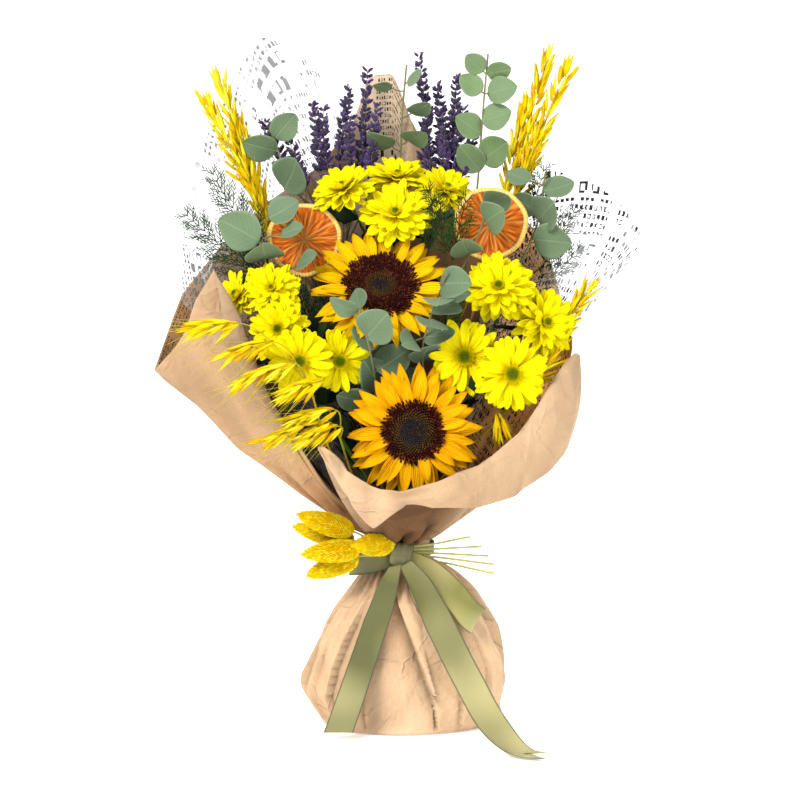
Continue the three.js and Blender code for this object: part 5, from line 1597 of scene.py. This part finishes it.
def buildOrange(key):
    s = orange["slices"][key]
    dice = np.random.default_rng(s["seed"])
    low, high = (np.array(c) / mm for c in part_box(f"orange_slice_{key}"))
    at = (low + high) / 2
    frameOf = basisOf(s["facing"])
    rings, turns = 64, 360
    r = np.linspace(0.004, 1, rings)[:, None]
    a = np.linspace(0, turnFull, turns, endpoint=False)[None, :]
    segments = orange["segments"]
    cuts = np.sort((np.arange(segments) + dice.uniform(-0.16, 0.16, segments)) / segments * turnFull)
    apart = np.abs((a[..., None] - cuts + math.pi) % turnFull - math.pi).min(-1) * r * orange["radius"]
    spot2 = np.stack([r * np.cos(a), r * np.sin(a)], -1) * orange["radius"]
    grain = wobble(np.stack([a * 16 + 0 * r, r * 9 + 0 * a], -1), 3.2, s["seed"])
    membrane = np.exp(-(apart / 0.9) ** 2) * (r < 0.9)
    core = np.exp(-(r / 0.08) ** 2)
    pith = ease((r - 0.865) / 0.03) * (1 + 0 * a)
    peel = ease((r - 0.955) / 0.02) * (1 + 0 * a)
    pale = np.clip(np.maximum(np.maximum(membrane * 0.3, core * 0.7), pith), 0, 1)
    warp = 1 + 0.02 * np.sin(a * 3 + s["turn"]) + 0.012 * np.sin(a * 7)
    thick = orange["thickness"] / 2
    height = thick * (0.5 + 0.32 * np.maximum(membrane, core) + 0.5 * pith) + 0.22 * grain * (1 - pale)
    height = height * np.sqrt(np.clip(1 - ((r - 0.93) / 0.07).clip(0, 1) ** 3, 0.0, 1))
    bend = 1.3 * np.sin(2 * a + s["turn"]) * r ** 2
    tint = mixTint(orange["flesh"], orange["deep"], 0.75 * ease(0.35 - 0.55 * grain) * (1 - pale))
    tint = mixTint(tint, orange["glow"], 0.7 * ease(grain * 0.9 - 0.2) * (1 - pale))
    tint = mixTint(tint, orange["pith"], pale)
    tint = mixTint(tint, orange["peel"], peel * 0.8)
    pile = newPile()
    for sign in (1, -1):
        z = sign * height + bend
        p = np.concatenate([spot2 * warp[..., None], z[..., None]], -1)
        quads = gridQuads(rings, turns, closeN=True)
        uv = np.stack(np.broadcast_arrays(a / turnFull, r), -1)
        put(pile, at + p.reshape(-1, 3) @ frameOf, quads[:, ::sign], uv, tint.reshape(-1, 3))
    makeObject(pile, f"orange_dried_{key}", orangeSkin, [f"orange_slice_{key}"])
    facing = unit(s["facing"])
    pile = newPile()
    top = at - facing * 4.2
    low = at - facing * 5.2 - np.array([0, 0, orange["radius"] * 0.8])
    tube(pile, [*stemPath(s["slot"], s["above"]), low, top], 1.2, rgb(202, 166, 110), 8)
    makeObject(pile, f"pick_{key}", pickSkin, [f"orange_pick_{key}"])


# ---- canary grass heads tucked into the bow: [tip, base of the head, cut end of the straw] ----
phalaris = {
    "scale": rgb(255, 224, 0), "deep": rgb(246, 190, 0),
    "light": rgb(255, 240, 60), "straw": rgb(232, 228, 130),
    "radius": 9.6, "strawRadius": 1.0,
    "heads": {
        "phalaris_1": [[-42, -62, 172], [-5, -48, 171], [62, -40, 176]],
        "phalaris_2": [[-92, -62, 200], [-40, -50, 182], [72, -44, 168]],
        "phalaris_3": [[-97, -40, 186], [-40, -38, 172], [78, -46, 160]],
        "phalaris_4": [[-88, -64, 164], [-34, -54, 168], [82, -48, 153]],
        "phalaris_5": [[-84, -48, 142], [-36, -42, 159], [84, -44, 144]],
    },
}
phalarisSkin = plantMaterial("dyed_phalaris", veins=5, depth=0.8, mottle=0.4, size=300, rough=0.65,
                             bump=0.0005, shader={"Specular IOR Level": 0.06})
scaleShape = lathe([[0.05, 0], [0.5, 0.3], [0.42, 0.6], [0.02, 1]], 5)


def buildPhalaris():
    strawY = -(tie["outer"] + 1.2 + phalaris["strawRadius"])
    shift = strawY + 32.4
    for i, (name, ends) in enumerate(phalaris["heads"].items()):
        dice = np.random.default_rng(300 + i)
        tip, base, cut = (np.array(e, float) + [0, shift, 0] for e in ends)
        level = tie["height"] + 6 - i * 2.6
        pile = newPile()
        length = np.linalg.norm(tip - base)
        way = unit(tip - base)
        straw = [cut, [9, strawY, level], [-9, strawY, level], base, base + way * length * 0.3]
        tube(pile, straw, phalaris["strawRadius"], phalaris["straw"], 6, rings=40)
        x, y, z = (v[0] for v in axesFor(way[None]))
        frameOf = np.array([x, y, z])
        thick = phalaris["radius"]
        core = lathe([[0.02, 0], [thick * 0.66, length * 0.16], [thick * 0.8, length * 0.45],
                      [thick * 0.55, length * 0.8], [0.02, length * 0.97]], 14)
        # painted shade: the core seen between the scales is darker
        put(pile, base + core[0] @ frameOf, core[1], core[2], phalaris["deep"] * 0.8)
        count = 900
        k = np.arange(count) + 0.5
        share = k / count
        a = k * goldenTurn
        radius = thick * 0.86 * np.sin(np.clip(share * 1.04, 0, 1) ** 0.72 * math.pi) ** 0.55
        place = np.stack([radius * np.cos(a), radius * np.sin(a), length * (0.01 + 0.9 * share)], -1)
        lean = np.stack([np.cos(a), np.sin(a), 0.9 + 1.6 * share], -1)
        tint = mixTint(phalaris["deep"], phalaris["scale"], dice.random(count) * 0.7 + 0.3)
        tint = np.where(dice.random(count)[:, None] < 0.3, phalaris["light"], tint)
        # partly random tone, partly painted light: every scale is brightened, past full colour in red
        tint = tint * dice.uniform(1.08, 1.36, (count, 1))
        sizes = np.stack([np.full(count, 1.3), np.full(count, 1.0), dice.uniform(3.2, 5.2, count)], -1)
        scatter(pile, scaleShape, base + place @ frameOf, lean @ frameOf, sizes, tint,
                dice.uniform(0, 6, count))
        makeObject(pile, f"canary_grass_{i + 1}", phalarisSkin, [name])


# ---- string round the stems ----
twine = {"turns": 3, "strand": 0.62, "colour": rgb(176, 150, 104)}
twineSkin = plantMaterial("string", veins=6, depth=0.8, mottle=0.6, size=300, rough=0.85, bump=0.0004)


def buildTwine():
    pile = newPile()
    inner = 3.5 * tie["pitch"] + 0.9
    t = np.linspace(0, 1, 420)
    a = t * twine["turns"] * turnFull
    for phase in (0, math.pi):
        spin = t * 120 + phase
        r = inner + 0.42 * np.cos(spin)
        z = tie["height"] + (t - 0.5) * 3.6 + 0.42 * np.sin(spin)
        path = np.stack([r * np.cos(a), r * np.sin(a), z], -1)
        tube(pile, path, twine["strand"], twine["colour"], 6, rings=420)
    makeObject(pile, "binding_twine", twineSkin, ["binding_string"])


# ---- the floor and its upturned back ----
def buildFloor():
    sweep = [[1500 + 900 * math.sin(t), 900 - 900 * math.cos(t)] for t in np.linspace(0, math.pi / 2, 24)[1:]]
    profile = np.array([[-2600, 0], [1500, 0], *sweep, [2400, 3200]])
    x = np.linspace(-3500, 3500, 8)
    grid = np.stack(np.broadcast_arrays(x[None], profile[:, :1], profile[:, 1:] - 0.3), -1)
    mesh = bpy.data.meshes.new("floor_sweep")
    mesh.from_pydata((grid.reshape(-1, 3) * mm).tolist(), [], gridQuads(len(profile), 8)[:, ::-1].tolist())
    mesh.shade_smooth()
    made, tree, body, places, tint = newMaterial("pale_floor", {"Roughness": 0.9, "Specular IOR Level": 0.1})
    cloud = noiseAt(tree, places["Object"], 3.0)
    feed(tree, body, colour=mixColour(tree, cloud, (*studio["floor"], 1), (0.95, 0.95, 0.95, 1)))
    body.inputs["Emission Color"].default_value = (1, 1, 1, 1)
    body.inputs["Emission Strength"].default_value = studio["glow"]
    mesh.materials.append(made)
    floor = bpy.data.objects.new("floor_sweep", mesh)
    scene.collection.objects.link(floor)


makeStudio()
print("papers")
backPaper, backArea = buildBackSheet()
frontPaper, frontArea = buildFrontSheet()
footPaper, footArea, footFront = buildFoot()
for side in ("left", "right"):
    piece, area = buildFilm(side)
print("ribbon")
buildRibbon()
print("flowers")
for key in sunflower["heads"]:
    buildSunflower(key)
buildSprays()
print("greens and dried stems")
for i, key in enumerate(eucalyptus["branches"]):
    buildEucalyptus(key, 400 + i)
for i, key in enumerate(lavender["stalks"]):
    buildLavender(key, 500 + i)
for i, key in enumerate(oats["stalks"]):
    buildOats(key, 600 + i)
for i, key in enumerate(fern["stalks"]):
    buildFern(key, 700 + i)
print("slices and grass heads")
for key in orange["slices"]:
    buildOrange(key)
buildPhalaris()
buildTwine()
buildFloor()
print("finished")
